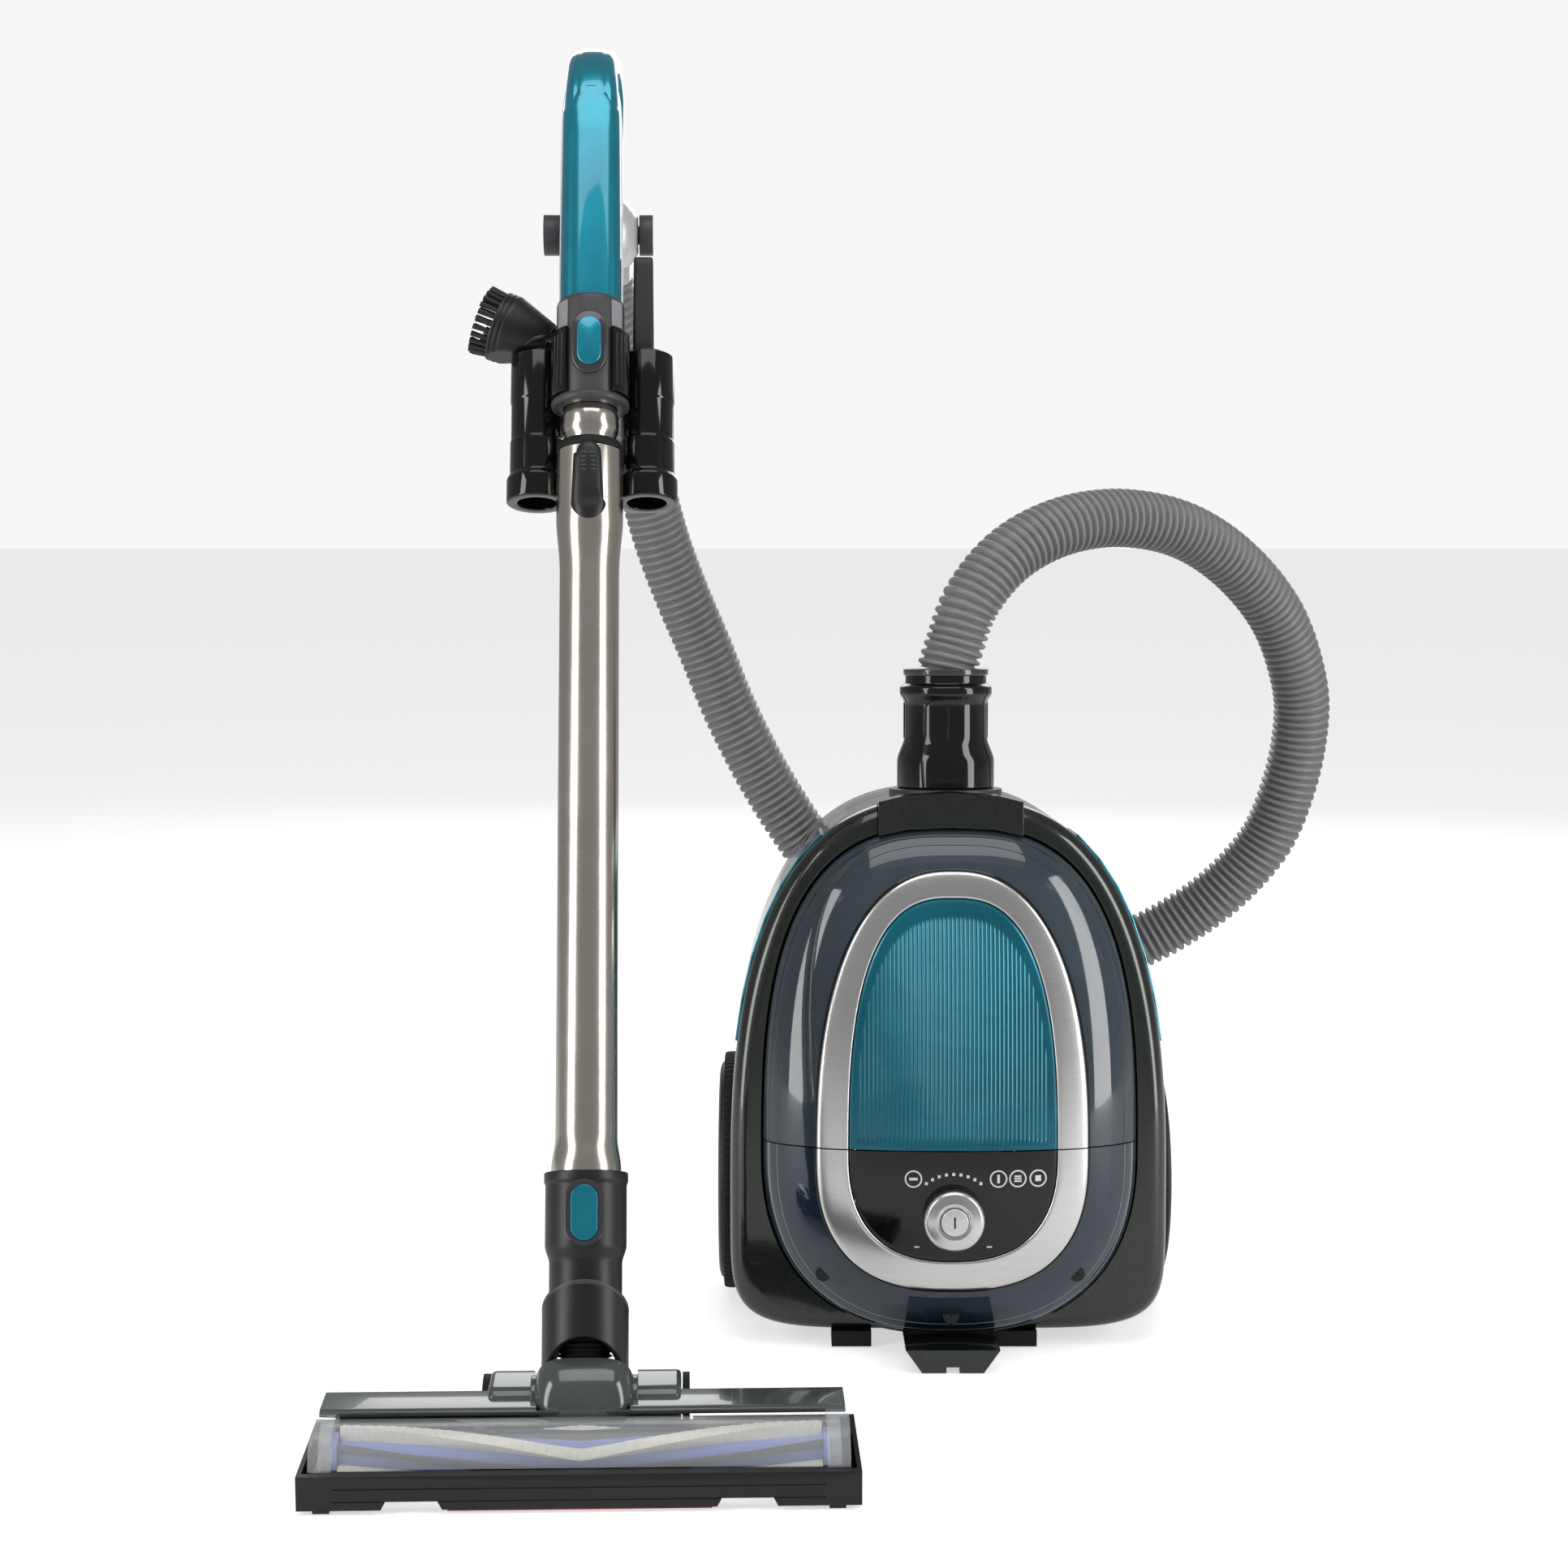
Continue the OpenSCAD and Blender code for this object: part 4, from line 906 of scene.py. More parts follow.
def column_grid(shape, upper, columns, rows, grow, level=None):
    """A grid whose columns stand at even x, from the seam to the outline."""
    half, up, n_up, down, n_down, middle = shape
    level = SEAM + (SEAM_GAP if upper else -SEAM_GAP) if level is None else level
    reach, n = (up, n_up) if upper else (down, n_down)
    b = reach + grow
    if upper:
        edge = (half + grow) * (1 - (max(level - middle, 0) / b) ** n) ** (1 / n)
    else:
        edge = half + grow
    x = np.linspace(-edge, edge, columns)
    tall = b * np.clip(1 - np.abs(x / (half + grow)) ** n, 0, 1) ** (1 / n)
    end = middle + tall if upper else middle - tall
    end = np.maximum(end, level + 0.02) if upper else np.minimum(end, level - 0.02)
    u = np.linspace(0, 1, rows)[:, None]
    z = level + (end - level)[None] * (1 - (1 - u) ** 1.25)
    return np.broadcast_to(x, z.shape).copy(), z


def step_up(value, low, high):
    """Smooth step from 0 at low to 1 at high."""
    t = np.clip((value - low) / (high - low), 0, 1)
    return t * t * (3 - 2 * t)


class CLEANER_OT_panels(BuildStep, bpy.types.Operator):
    """The ribbed bin panel and the glossy control panel with its plain marks"""
    bl_idname = "cleaner.panels"
    bl_label = "Panels"

    def build(self):
        """Ribs run down the panel as a cosine in x, fading out near its border."""
        x, z = column_grid(RING_INNER, True, 520, 70, 0.2)
        rho = share(x, z, RING_INNER)
        inside = step_up((1 - rho) * 62.0, 3.4, 4.4) * step_up(z - SEAM, 5.0, 6.0)
        ridge = 0.5 + 0.5 * np.cos(2 * np.pi * x / (sizes().panel_rib / MM))
        proud = 1.1 + 0.5 * step_up((1 - rho) * 62.0, 0.0, 0.8) - 0.45 * inside * ridge ** 1.5
        outer = np.stack([x, bulge(x, z) - proud, z], -1)
        inner = np.stack([x, bulge(x, z) + 0.8, z], -1)
        Solid().sheet(outer, inner).build("bin_panel_skin", FINISHES["panel"], "dirt_bin", in_canister,
                                          slot="teal_gloss", replaces=("bin_panel",), sharp=radians(60))
        x, z = column_grid(RING_INNER, False, 220, 60, 0.2)
        rho = share(x, z, RING_INNER)
        proud = 1.0 + 0.6 * step_up((1 - rho) * 62.0, 0.0, 1.2)
        outer = np.stack([x, bulge(x, z) - proud, z], -1)
        inner = np.stack([x, bulge(x, z) + 0.8, z], -1)
        Solid().sheet(outer, inner).build("control_panel_skin", FINISHES["black_gloss"], "canister", in_canister,
                                          slot="black_gloss", replaces=("control_panel",))
        marks = Solid()
        for cx in (-24.5, 27.4, 39.3, 51.8):
            marks.ring(on_panel_ring(cx, 115.5, 4.9, 0.45))
        bars = [(-24.5, 115.5, 2.6, 0.8), (27.4, 115.5, 0.8, 2.6), (39.3, 117.0, 2.2, 0.5),
                (39.3, 115.5, 2.2, 0.5), (39.3, 114.0, 2.2, 0.5), (51.8, 115.5, 1.8, 1.8)]
        for cx, cz, hx, hz in bars:
            marks.sheet(*on_panel_bar(cx, cz, hx, hz))
        for a in np.radians(np.linspace(52, 128, 9)):
            marks.sheet(*on_panel_bar(27.0 * np.cos(a), 91.5 + 27.0 * np.sin(a), 0.9, 0.9))
        for a in np.radians([-140, -40]):
            marks.sheet(*on_panel_bar(29.0 * np.cos(a), 91.5 + 29.0 * np.sin(a), 1.6, 0.5))
        marks.build("panel_marks", FINISHES["mark"], "canister", in_canister, slot="silver")


def on_panel_ring(cx, cz, radius, half):
    """A thin flat ring lying on the control panel."""
    t = np.linspace(0, 2 * np.pi, 49)[:-1]
    rows = []
    for r, lift in ((radius - half, 1.5), (radius - half, 1.9), (radius + half, 1.9), (radius + half, 1.5)):
        x, z = cx + r * np.cos(t), cz + r * np.sin(t)
        rows.append(np.stack([x, bulge(x, z) - lift, z], -1))
    return np.stack(rows)


def on_panel_bar(cx, cz, hx, hz):
    """A thin flat bar lying on the control panel, as outer and inner grids."""
    x, z = np.meshgrid(np.linspace(cx - hx, cx + hx, 5), np.linspace(cz - hz, cz + hz, 5), indexing="ij")
    y = bulge(x, z)
    return np.stack([x, y - 1.9, z], -1), np.stack([x, y - 1.4, z], -1)


class CLEANER_OT_knob(BuildStep, bpy.types.Operator):
    """The silver control knob and the power button in it"""
    bl_idname = "cleaner.knob"
    bl_label = "Knob"

    def build(self):
        """A turned cap whose rim is fluted by a cosine of its angle."""
        rows = rounded([(8.9, -58.2), (11.0, -58.9), (16.8, -57.4), (18.6, -55.5), (18.7, -47.0), (15.0, -46.3),
                        (15.0, -52.0), (8.9, -54.0)], [0.3, 0.8, 0.8, 0.6, 0.5, 0.3, 0.5, 0.2], 4)
        grid = revolve(rows, "y", KNOB_AT, 720)
        turn = np.arctan2(grid[..., 2] - 91.5, grid[..., 0])
        out = step_up(rows[:, 0], 18.0, 18.5)[:, None]
        flute = 1 - 0.018 * out * (0.5 + 0.5 * np.cos(80 * turn))
        grid[..., 0] *= flute
        grid[..., 2] = 91.5 + (grid[..., 2] - 91.5) * flute
        knob = Solid().ring(grid)
        knob.build("knob_cap", FINISHES["silver"], "control_knob", in_canister, slot="silver", replaces=("knob",))
        base = Solid().tube(disc(14.8, -51.2, -41.0, "y", KNOB_AT, 0.4))
        base.build("knob_core", FINISHES["black_satin"], "control_knob", in_canister, slot="black_satin")
        button = Solid().tube(disc(8.4, -60.2, -54.2, "y", KNOB_AT, 0.9))
        button.build("power_cap", FINISHES["silver_paint"], "power", in_canister, slot="silver",
                     replaces=("power_button",))
        sign = Solid().tube(block((-0.55, -60.38, 88.0), (0.55, -59.9, 95.0), 0.2))
        sign.build("power_mark", FINISHES["black_gloss"], "power", in_canister, slot="black_gloss")


class CLEANER_OT_wheels(BuildStep, bpy.types.Operator):
    """The two large rear wheels with their treads and hubs"""
    bl_idname = "cleaner.wheels"
    bl_label = "Wheels"

    def build(self):
        """Turned rims with a ribbed rubber tread and a dished cap."""
        for side, name, node_name in ((-1, "left_wheel", "wheel_left"), (1, "right_wheel", "wheel_right")):
            hub = rounded([(7, 127.4), (70, 127.4), (71, 129), (71, 144.2), (66, 145.8), (56, 145.8), (52, 143.2),
                           (26, 143.2), (22, 145.6), (7, 145.6)], [0.5, 1, 1, 1.6, 1.6, 1.6, 2, 1.6, 1.6, 0.6], 5)
            grid = revolve(hub, "x", WHEEL_AT, 160)
            grid[..., 0] *= side
            Solid().ring(grid).build(name + "_rim", FINISHES["black_satin"], name, in_canister, slot="black_satin",
                                     replaces=(node_name,))
            tread = rounded([(70.6, 128.2), (77.6, 128.2), (77.9, 131), (77.9, 139), (77.4, 142.6), (70.6, 142.6)],
                            [0.8, 1.5, 1, 1, 1.5, 0.8], 4)
            grid = revolve(tread, "x", WHEEL_AT, 540)
            turn = np.arctan2(grid[..., 2] - 92.0, grid[..., 1] - 112.0)
            out = step_up(tread[:, 0], 76.0, 77.5)[:, None]
            groove = 1 - 0.010 * out * step_up(np.cos(90 * turn), 0.3, 0.8)
            grid[..., 1] = 112 + (grid[..., 1] - 112) * groove
            grid[..., 2] = 92 + (grid[..., 2] - 92) * groove
            grid[..., 0] *= side
            Solid().ring(grid).build(name + "_tread", FINISHES["rubber"], name, in_canister, slot="rubber")
            cap = Solid()
            for a in np.radians(np.arange(0, 360, 60)):
                spot = (112 + 39 * np.cos(a), 92 + 39 * np.sin(a))
                ring = disc(3.0, 143.0, 144.2, "x", spot, 0.5, 28)
                ring[..., 0] *= side
                cap.tube(ring)
            middle = disc(15.0, 143.4, 145.9, "x", WHEEL_AT, 0.8, 64)
            middle[..., 0] *= side
            cap.tube(middle)
            cap.build(name + "_cap", FINISHES["grey_gloss"], name, in_canister, slot="grey_plastic")


class CLEANER_OT_inlet(BuildStep, bpy.types.Operator):
    """The hose's black cuff at the canister's inlet"""
    bl_idname = "cleaner.inlet"
    bl_label = "Inlet cuff"

    def build(self):
        """One turned profile: collar, cone, waist, flange and lip, with a raised seam each side."""
        rows = rounded([(25.4, 349.4), (31, 349.4), (31, 368.5), (26.4, 380), (26.2, 404), (29.4, 409),
                        (29.4, 413.6), (25.9, 416), (25.8, 421.8), (20.2, 421.8), (20.2, 400), (25.4, 368)],
                       [0.5, 1.2, 3, 3, 3, 1.2, 1.2, 0.8, 1.2, 0.8, 0.8, 0.8], 5)
        grid = revolve(rows, "z", INLET_AT, 120)
        Solid().ring(grid).build("inlet_cuff", FINISHES["black_gloss"], "canister", in_canister,
                                 slot="black_gloss", replaces=("hose_cuff",))
        rows = rounded([(25.0, 421.0), (27.0, 421.0), (27.2, 425.2), (20.4, 425.2)], 0.8, 4)
        ring = revolve(rows, "z", INLET_AT, 96)
        Solid().ring(ring).build("inlet_ring", FINISHES["grey_gloss"], "canister", in_canister, slot="grey_plastic")
        seam = Solid()
        for s in (-1, 1):
            seam.tube(block((s * 26.3 - 0.7, 54.3, 381), (s * 26.3 + 0.7, 55.7, 404), 0.4))
        seam.tube(block((-0.7, 28.0, 381), (0.7, 29.4, 404), 0.4))
        seam.build("cuff_seams", FINISHES["black_gloss"], "canister", in_canister, slot="black_gloss")


class CLEANER_OT_fittings(BuildStep, bpy.types.Operator):
    """Finishes on the frame's own canister parts: latch, feet, tail, battery door and insides"""
    bl_idname = "cleaner.fittings"
    bl_label = "Canister fittings"

    def build(self):
        """Only finishes and small bevels; the parts stay the frame's."""
        paint_nodes([("bin_latch", "casing"), ("tail_bracket", "casing")], 2.0)
        paint_nodes([("side_strips", "teal"),
                     ("battery_door", "casing_dark"), ("hose_inlet", "grey")], 0.9)
        paint_nodes([("stand_feet", "rubber"), ("casing_screws", "screw"), ("exhaust_filter", "filter"),
                     ("caster_fork", "grey"), ("caster_wheel", "rubber")], 0.3)
        paint_nodes([("control_board", "board"), ("motor", "motor"), ("fan_wheel", "grey"),
                     ("battery_pack", "grey_gloss"), ("bin_shell", "smoke"), ("cyclone_cone", "grey"),
                     ("pre_filter", "filter")])


# ---------- handle ----------
def pad(section, back, front, edge, centre, axis="y"):
    """A flat button shape: a section carried from back to front, its front edge rounded."""
    section = np.asarray(section, float)
    half = np.abs(section).max(0)
    bend = np.linspace(0, np.pi / 2, 5)
    inset = np.concatenate([[0.0], edge * (1 - np.cos(bend))])
    sign = 1.0 if front > back else -1.0
    depth = np.concatenate([[back], front - sign * edge * (1 - np.sin(bend))])
    rows = []
    for i, d in zip(inset, depth):
        p = section * (1 - i / half)
        flat = np.full(len(p), d)
        order = {"y": (p[:, 0] + centre[0], flat, p[:, 1] + centre[1]),
                 "x": (flat, p[:, 0] + centre[0], p[:, 1] + centre[1]),
                 "z": (p[:, 0] + centre[0], p[:, 1] + centre[1], flat)}[axis]
        rows.append(np.stack(order, -1))
    return np.stack(rows)


def stadium(half_width, half_height, count=48):
    """A pill outline."""
    t = np.linspace(0, 2 * np.pi, count, endpoint=False)
    straight = half_height - half_width
    return np.stack([half_width * np.cos(t), half_width * np.sin(t) + straight * np.sign(np.sin(t))], -1)


def partial_turn(profile, axis, centre, start, turn, count=96):
    """A closed profile carried part of the way round an axis, capped at both ends."""
    return closed(revolve(profile, axis, centre, count, start, turn).transpose(1, 0, 2))


GRIP = [(0, 652), (0, 690), (0, 735), (0, 772), (3, 800), (13, 822), (30, 834), (46, 836), (60, 828), (68, 810),
        (71, 785), (70, 752)]


class CLEANER_OT_handle(BuildStep, bpy.types.Operator):
    """The teal loop handle with its front shell and silver side bands"""
    bl_idname = "cleaner.handle"
    bl_label = "Handle"

    def build(self):
        """A squared ellipse carried round the loop; the front shell tapers to an ogive."""
        line = smooth_path(np.array(GRIP, float), 12)
        path = np.stack([np.zeros(len(line)), line[:, 0], line[:, 1]], -1)
        run = np.linspace(0, 1, len(line))
        width = np.interp(run, [0, 0.3, 0.42, 0.5, 0.6, 0.75, 1], [17.8, 17.4, 15.6, 15.0, 17.0, 18.4, 17.2])
        thick = np.interp(run, [0, 0.3, 0.42, 0.5, 0.6, 0.75, 1], [12.2, 11.6, 9.8, 9.4, 10.6, 10.8, 10.6])
        section = ellipse_section(1, 1, 64, 2.7)
        crease = 1 - 0.05 * np.exp(-((np.abs(section[:, :1]) - 0.55) / 0.07) ** 2)
        grid = sweep(path, (1, 0, 0), section * crease, np.stack([width, thick], -1))
        Solid().tube(grid).build("grip_loop", FINISHES["teal"], "canister", in_wand, slot="teal_gloss",
                                 replaces=("handle_rear",), sharp=radians(50))
        s = np.concatenate([np.linspace(658.0, 784, 40), np.linspace(786, 811, 22)])[:, None]
        half = np.interp(s, [658, 700, 784, 793, 800, 806, 811], [18.8, 18.7, 18.0, 15.6, 12.0, 7.4, 1.2])
        deep = np.interp(s, [658, 784, 800, 811], [13.3, 12.7, 11.2, 9.8])
        back = np.interp(s, [658, 772, 790, 800, 811], [0, 0, 1.5, 3, 6.6])
        turn = np.radians(np.linspace(-96, 96, 61))[None]
        x = half * power(np.sin(turn), 2 / 2.6)
        y = back - deep * power(np.cos(turn), 2 / 2.6)
        outer = np.stack([x, y, np.broadcast_to(s, x.shape)], -1)
        inner = np.stack([x * 0.93, y + 1.6, np.broadcast_to(s, x.shape)], -1)
        Solid().sheet(outer, inner).build("grip_shell", FINISHES["teal"], "canister", in_wand, slot="teal_gloss",
                                          replaces=("handle_front",))
        bands = Solid()
        for side in (-1, 1):
            band = np.array([(side * w, y, z) for w, y, z in ((18.3, 4.6, 658), (18.3, 4.6, 700), (17.6, 4.6, 780),
                                                              (15.4, 7.0, 802))], float)
            bands.tube(sweep(smooth_path(band, 8), (1, 0, 0), box_section(1.3, 2.4, 0.6)))
        bands.build("grip_bands", FINISHES["silver_paint"], "canister", in_wand, slot="silver",
                    replaces=("handle_trim",))


class CLEANER_OT_housing(BuildStep, bpy.types.Operator):
    """The handle's grey housing, its flange and the release button"""
    bl_idname = "cleaner.housing"
    bl_label = "Handle housing"

    def build(self):
        """Turned housing with a raised frame round the pill button."""
        rows = rounded([(16.2, 593), (20.8, 593), (20.8, 655.5), (19.4, 657.6), (15.0, 657.6), (16.2, 640)],
                       [0.5, 1, 1.5, 0.8, 0.5, 1], 5)
        Solid().ring(revolve(rows, "z", (0, 0), 120)).build(
            "housing_skin", FINISHES["grey"], "canister", in_wand, slot="grey_plastic",
            replaces=("handle_housing",))
        rows = rounded([(16.4, 588.2), (21.6, 588.2), (23.8, 589.6), (23.8, 592.6), (20.2, 594.4), (16.4, 594.4)],
                       [0.5, 1, 1, 1, 0.6, 0.5], 4)
        Solid().ring(revolve(rows, "z", (0, 0), 120)).build("housing_flange", FINISHES["grey"], "canister",
                                                            in_wand, slot="grey_plastic")
        frame_pad = Solid().tube(pad(stadium(10.5, 20.0), -17.0, -22.9, 1.2, (0, 624.5)))
        frame_pad.build("button_frame", FINISHES["grey_gloss"], "canister", in_wand, slot="grey_plastic")
        cheeks = Solid()
        for side in (-1, 1):
            points, faces = partial_turn(rounded([(20.9, 597), (21.5, 597), (21.5, 654), (20.9, 654)], 0.25, 3),
                                         "z", (0, 0), -90 + side * 52 - 13, 26, 20)
            cheeks.add(points, faces)
        cheeks.build("housing_cheeks", FINISHES["grey_light"], "canister", in_wand, slot="silver")
        button = Solid().tube(pad(stadium(7.4, 15.4), -20.4, -24.8, 0.9, (0, 624.5)))
        button.build("release_cap", FINISHES["teal"], "release_button", in_wand, slot="teal_gloss",
                     replaces=("handle_button",))


class CLEANER_OT_hub(BuildStep, bpy.types.Operator):
    """The pale ball hub behind the grip, with the hose's collar and its arm"""
    bl_idname = "cleaner.hub"
    bl_label = "Hub"

    def build(self):
        """A ball cut flat at both sides, a collar along the hose and an arm to the housing."""
        ball = Solid()
        turn = np.linspace(np.radians(21), np.radians(159), 41)
        rows = np.stack([27.0 * np.sin(turn), 3 - 27.0 * np.cos(turn)], -1)
        rows = rows[(rows[:, 1] > -22.2) & (rows[:, 1] < 28.2)]
        ends = [[(0.3, rows[0, 1]), (0.3, rows[-1, 1])]]
        ball.tube(revolve(np.concatenate([ends[0][:1], rows, ends[0][1:]]), "x", HUB_AT, 96))
        tilt = np.radians(38.4)
        down = np.array([0, np.sin(tilt), -np.cos(tilt)])
        path = np.array([0, 68, 734.0]) + down * np.array([[10.0], [14], [16.4], [29.2], [30.0]])
        scale = np.array([21.0, 21.4, 22.5, 22.5, 21.6])
        ball.tube(sweep(path, (1, 0, 0), ellipse_section(1, 1, 72), np.stack([scale, scale], -1)))
        arm = smooth_path(np.array([(2, 62, 716), (2, 52, 692), (1, 36, 662), (0, 26, 646), (0, 22, 639)], float), 8)
        wide = np.linspace(13, 12, len(arm))
        ball.tube(sweep(arm, (1, 0, 0), ellipse_section(1, 0.66, 48, 2.6), np.stack([wide, wide], -1)))
        ball.build("hub_skin", FINISHES["silver_paint"], "canister", in_wand, slot="silver",
                   replaces=("handle_hub",))
        paint_nodes([("hub_caps", "grey")], 0.8)


class CLEANER_OT_holder(BuildStep, bpy.types.Operator):
    """The tool holder's two tubes and the clip that grips the handle"""
    bl_idname = "cleaner.holder"
    bl_label = "Tool holder"

    def build(self):
        """Turned tubes with thick lower rims, joined by webs to an open collar."""
        body = Solid()
        for x in (-33.0, 34.0):
            rows = rounded([(12.1, 536.2), (18.8, 536.2), (18.8, 551), (16.9, 554), (16.9, 575), (16.4, 576),
                            (16.4, 600), (16.9, 601), (16.9, 630.8), (12.1, 630.8)],
                           [0.8, 1.2, 0.8, 0.8, 0.4, 0.4, 0.4, 0.4, 1.0, 0.8], 4)
            body.ring(revolve(rows, "z", (x, 22.0), 96))
            side = np.sign(x)
            web = block((side * 27 - 7, 15, 596), (side * 27 + 7, 25, 624), 1.0)
            body.tube(web)
        rows = rounded([(21.2, 594.6), (24, 594.6), (24, 636), (21.2, 636)], 0.7, 4)
        body.add(*partial_turn(rows, "z", (0, 0), -53, 286, 110))
        body.build("holder_skin", FINISHES["black_gloss"], "canister", in_wand, slot="black_gloss",
                   replaces=("tool_holder",))
        ribs = Solid()
        for side in (-1, 1):
            for k in range(3):
                a = np.radians(-90 + side * (44 + 9 * k))
                x, y = 24.0 * np.cos(a), 24.0 * np.sin(a)
                ribs.tube(block((x - 0.7, y - 0.7, 598), (x + 0.7, y + 0.7, 632), 0.5))
        ribs.build("holder_ribs", FINISHES["black_satin"], "canister", in_wand, slot="black_satin")


class CLEANER_OT_tools(BuildStep, bpy.types.Operator):
    """The crevice tool and the dusting brush in their holder"""
    bl_idname = "cleaner.tools"
    bl_label = "Tools"

    def build(self):
        """The blade's top slants with depth; the brush is a cone with bundles of bristles."""
        crevice = Solid()
        rows = rounded([(9.8, 549), (11.6, 549), (11.6, 633.5), (9.8, 633.5)], 0.6, 3)
        crevice.ring(revolve(rows, "z", (34.0, 22.0), 64))
        section = box_section(6.4, 9.0, 2.2, 6)
        s = np.concatenate([[631.8, 632.4, 634, 640], np.linspace(650, 697, 8), [700, 701.4, 701.8]])
        grow = np.concatenate([[0.9, 0.97, 1, 1], np.linspace(1.0, 0.94, 8), [0.93, 0.88, 0.8]])
        grid = np.stack([np.concatenate([section * g + (31.9, 22.0), np.full((len(section), 1), h)], 1)
                         for g, h in zip(grow, s)])
        slant = step_up(grid[..., 2], 655, 700) * np.minimum(grid[..., 1] - 30.0, 0) * 0.42
        grid[..., 2] += slant
        crevice.tube(grid)
        crevice.build("crevice_skin", FINISHES["black_satin"], "crevice", in_wand, slot="black_satin",
                      replaces=("crevice_tool",))
        brush = Solid()
        rows = rounded([(9.6, 601), (11.6, 601), (11.6, 636), (9.6, 636)], 0.6, 3)
        brush.ring(revolve(rows, "z", (-33.0, 22.0), 64))
        cone = rounded([(11.0, -3.6), (13.2, -3.6), (21.3, 20.6), (21.9, 22.0), (21.9, 24.0), (21.3, 24.3),
                        (21.3, 25.0), (21.9, 25.3), (21.9, 27.2), (21.3, 27.5), (21.3, 28.2), (21.9, 28.5),
                        (21.9, 30.4), (16.8, 30.4), (14.0, 14.0)],
                       [0.5, 1, 2, 0.6, 0.2, 0.2, 0.2, 0.2, 0.2, 0.2, 0.2, 0.2, 0.6, 0.6, 1], 3)
        grid = np.maximum(turn_brush(revolve(cone, "z", (0, 0), 96)), [-1e3, -1e3, 631.9])
        brush.ring(grid)
        flange = revolve(rounded([(9.8, -1.6), (15.4, -1.6), (15.4, 1.4), (9.8, 1.4)], 0.7, 3), "z", (0, 0), 64)
        c, s_ = np.cos(np.radians(20)), np.sin(np.radians(20))
        x, y, z = np.moveaxis(flange, -1, 0)
        brush.ring(np.stack([x * c - z * s_ - 34.5, y + 22.0, np.maximum(x * s_ + z * c + 638.0, 632.0)], -1))
        brush.build("duster_skin", FINISHES["black_satin"], "duster", in_wand, slot="black_satin",
                    replaces=("dusting_brush",))
        tufts = Solid()
        random = np.random.default_rng(7)
        long = sizes().tuft_length / MM
        for ring_radius, count, lean in ((19.4, 26, 1.0), (17.4, 20, -0.6)):
            for k in range(count):
                a = 2 * np.pi * k / count
                out = np.array([np.cos(a), np.sin(a), 0])
                tip = ring_radius + lean + random.uniform(-0.3, 0.3)
                path = np.stack([out * ring_radius + [0, 0, 27.5], out * ring_radius + [0, 0, 32],
                                 out * tip + [0, 0, 29 + long + random.uniform(-0.5, 0.3)]])
                wide = np.array([1.25, 1.35, 1.75])
                tufts.tube(turn_brush(sweep(path, (-np.sin(a), np.cos(a), 0), ellipse_section(1, 1, 10),
                                            np.stack([wide, wide], -1))))
        tufts.build("duster_tufts", FINISHES["bristle"], "duster", in_wand, slot="bristle_black",
                    replaces=("brush_tufts",))


def turn_brush(points):
    """Brush head's own axis to the wand frame: turned 68 degrees to the left and moved to its place."""
    c, s = np.cos(np.radians(68)), np.sin(np.radians(68))
    x, y, z = np.moveaxis(np.asarray(points, float), -1, 0)
    return np.stack([x * c - z * s - 30.0, y + 22.0, x * s + z * c + 641.0], -1)


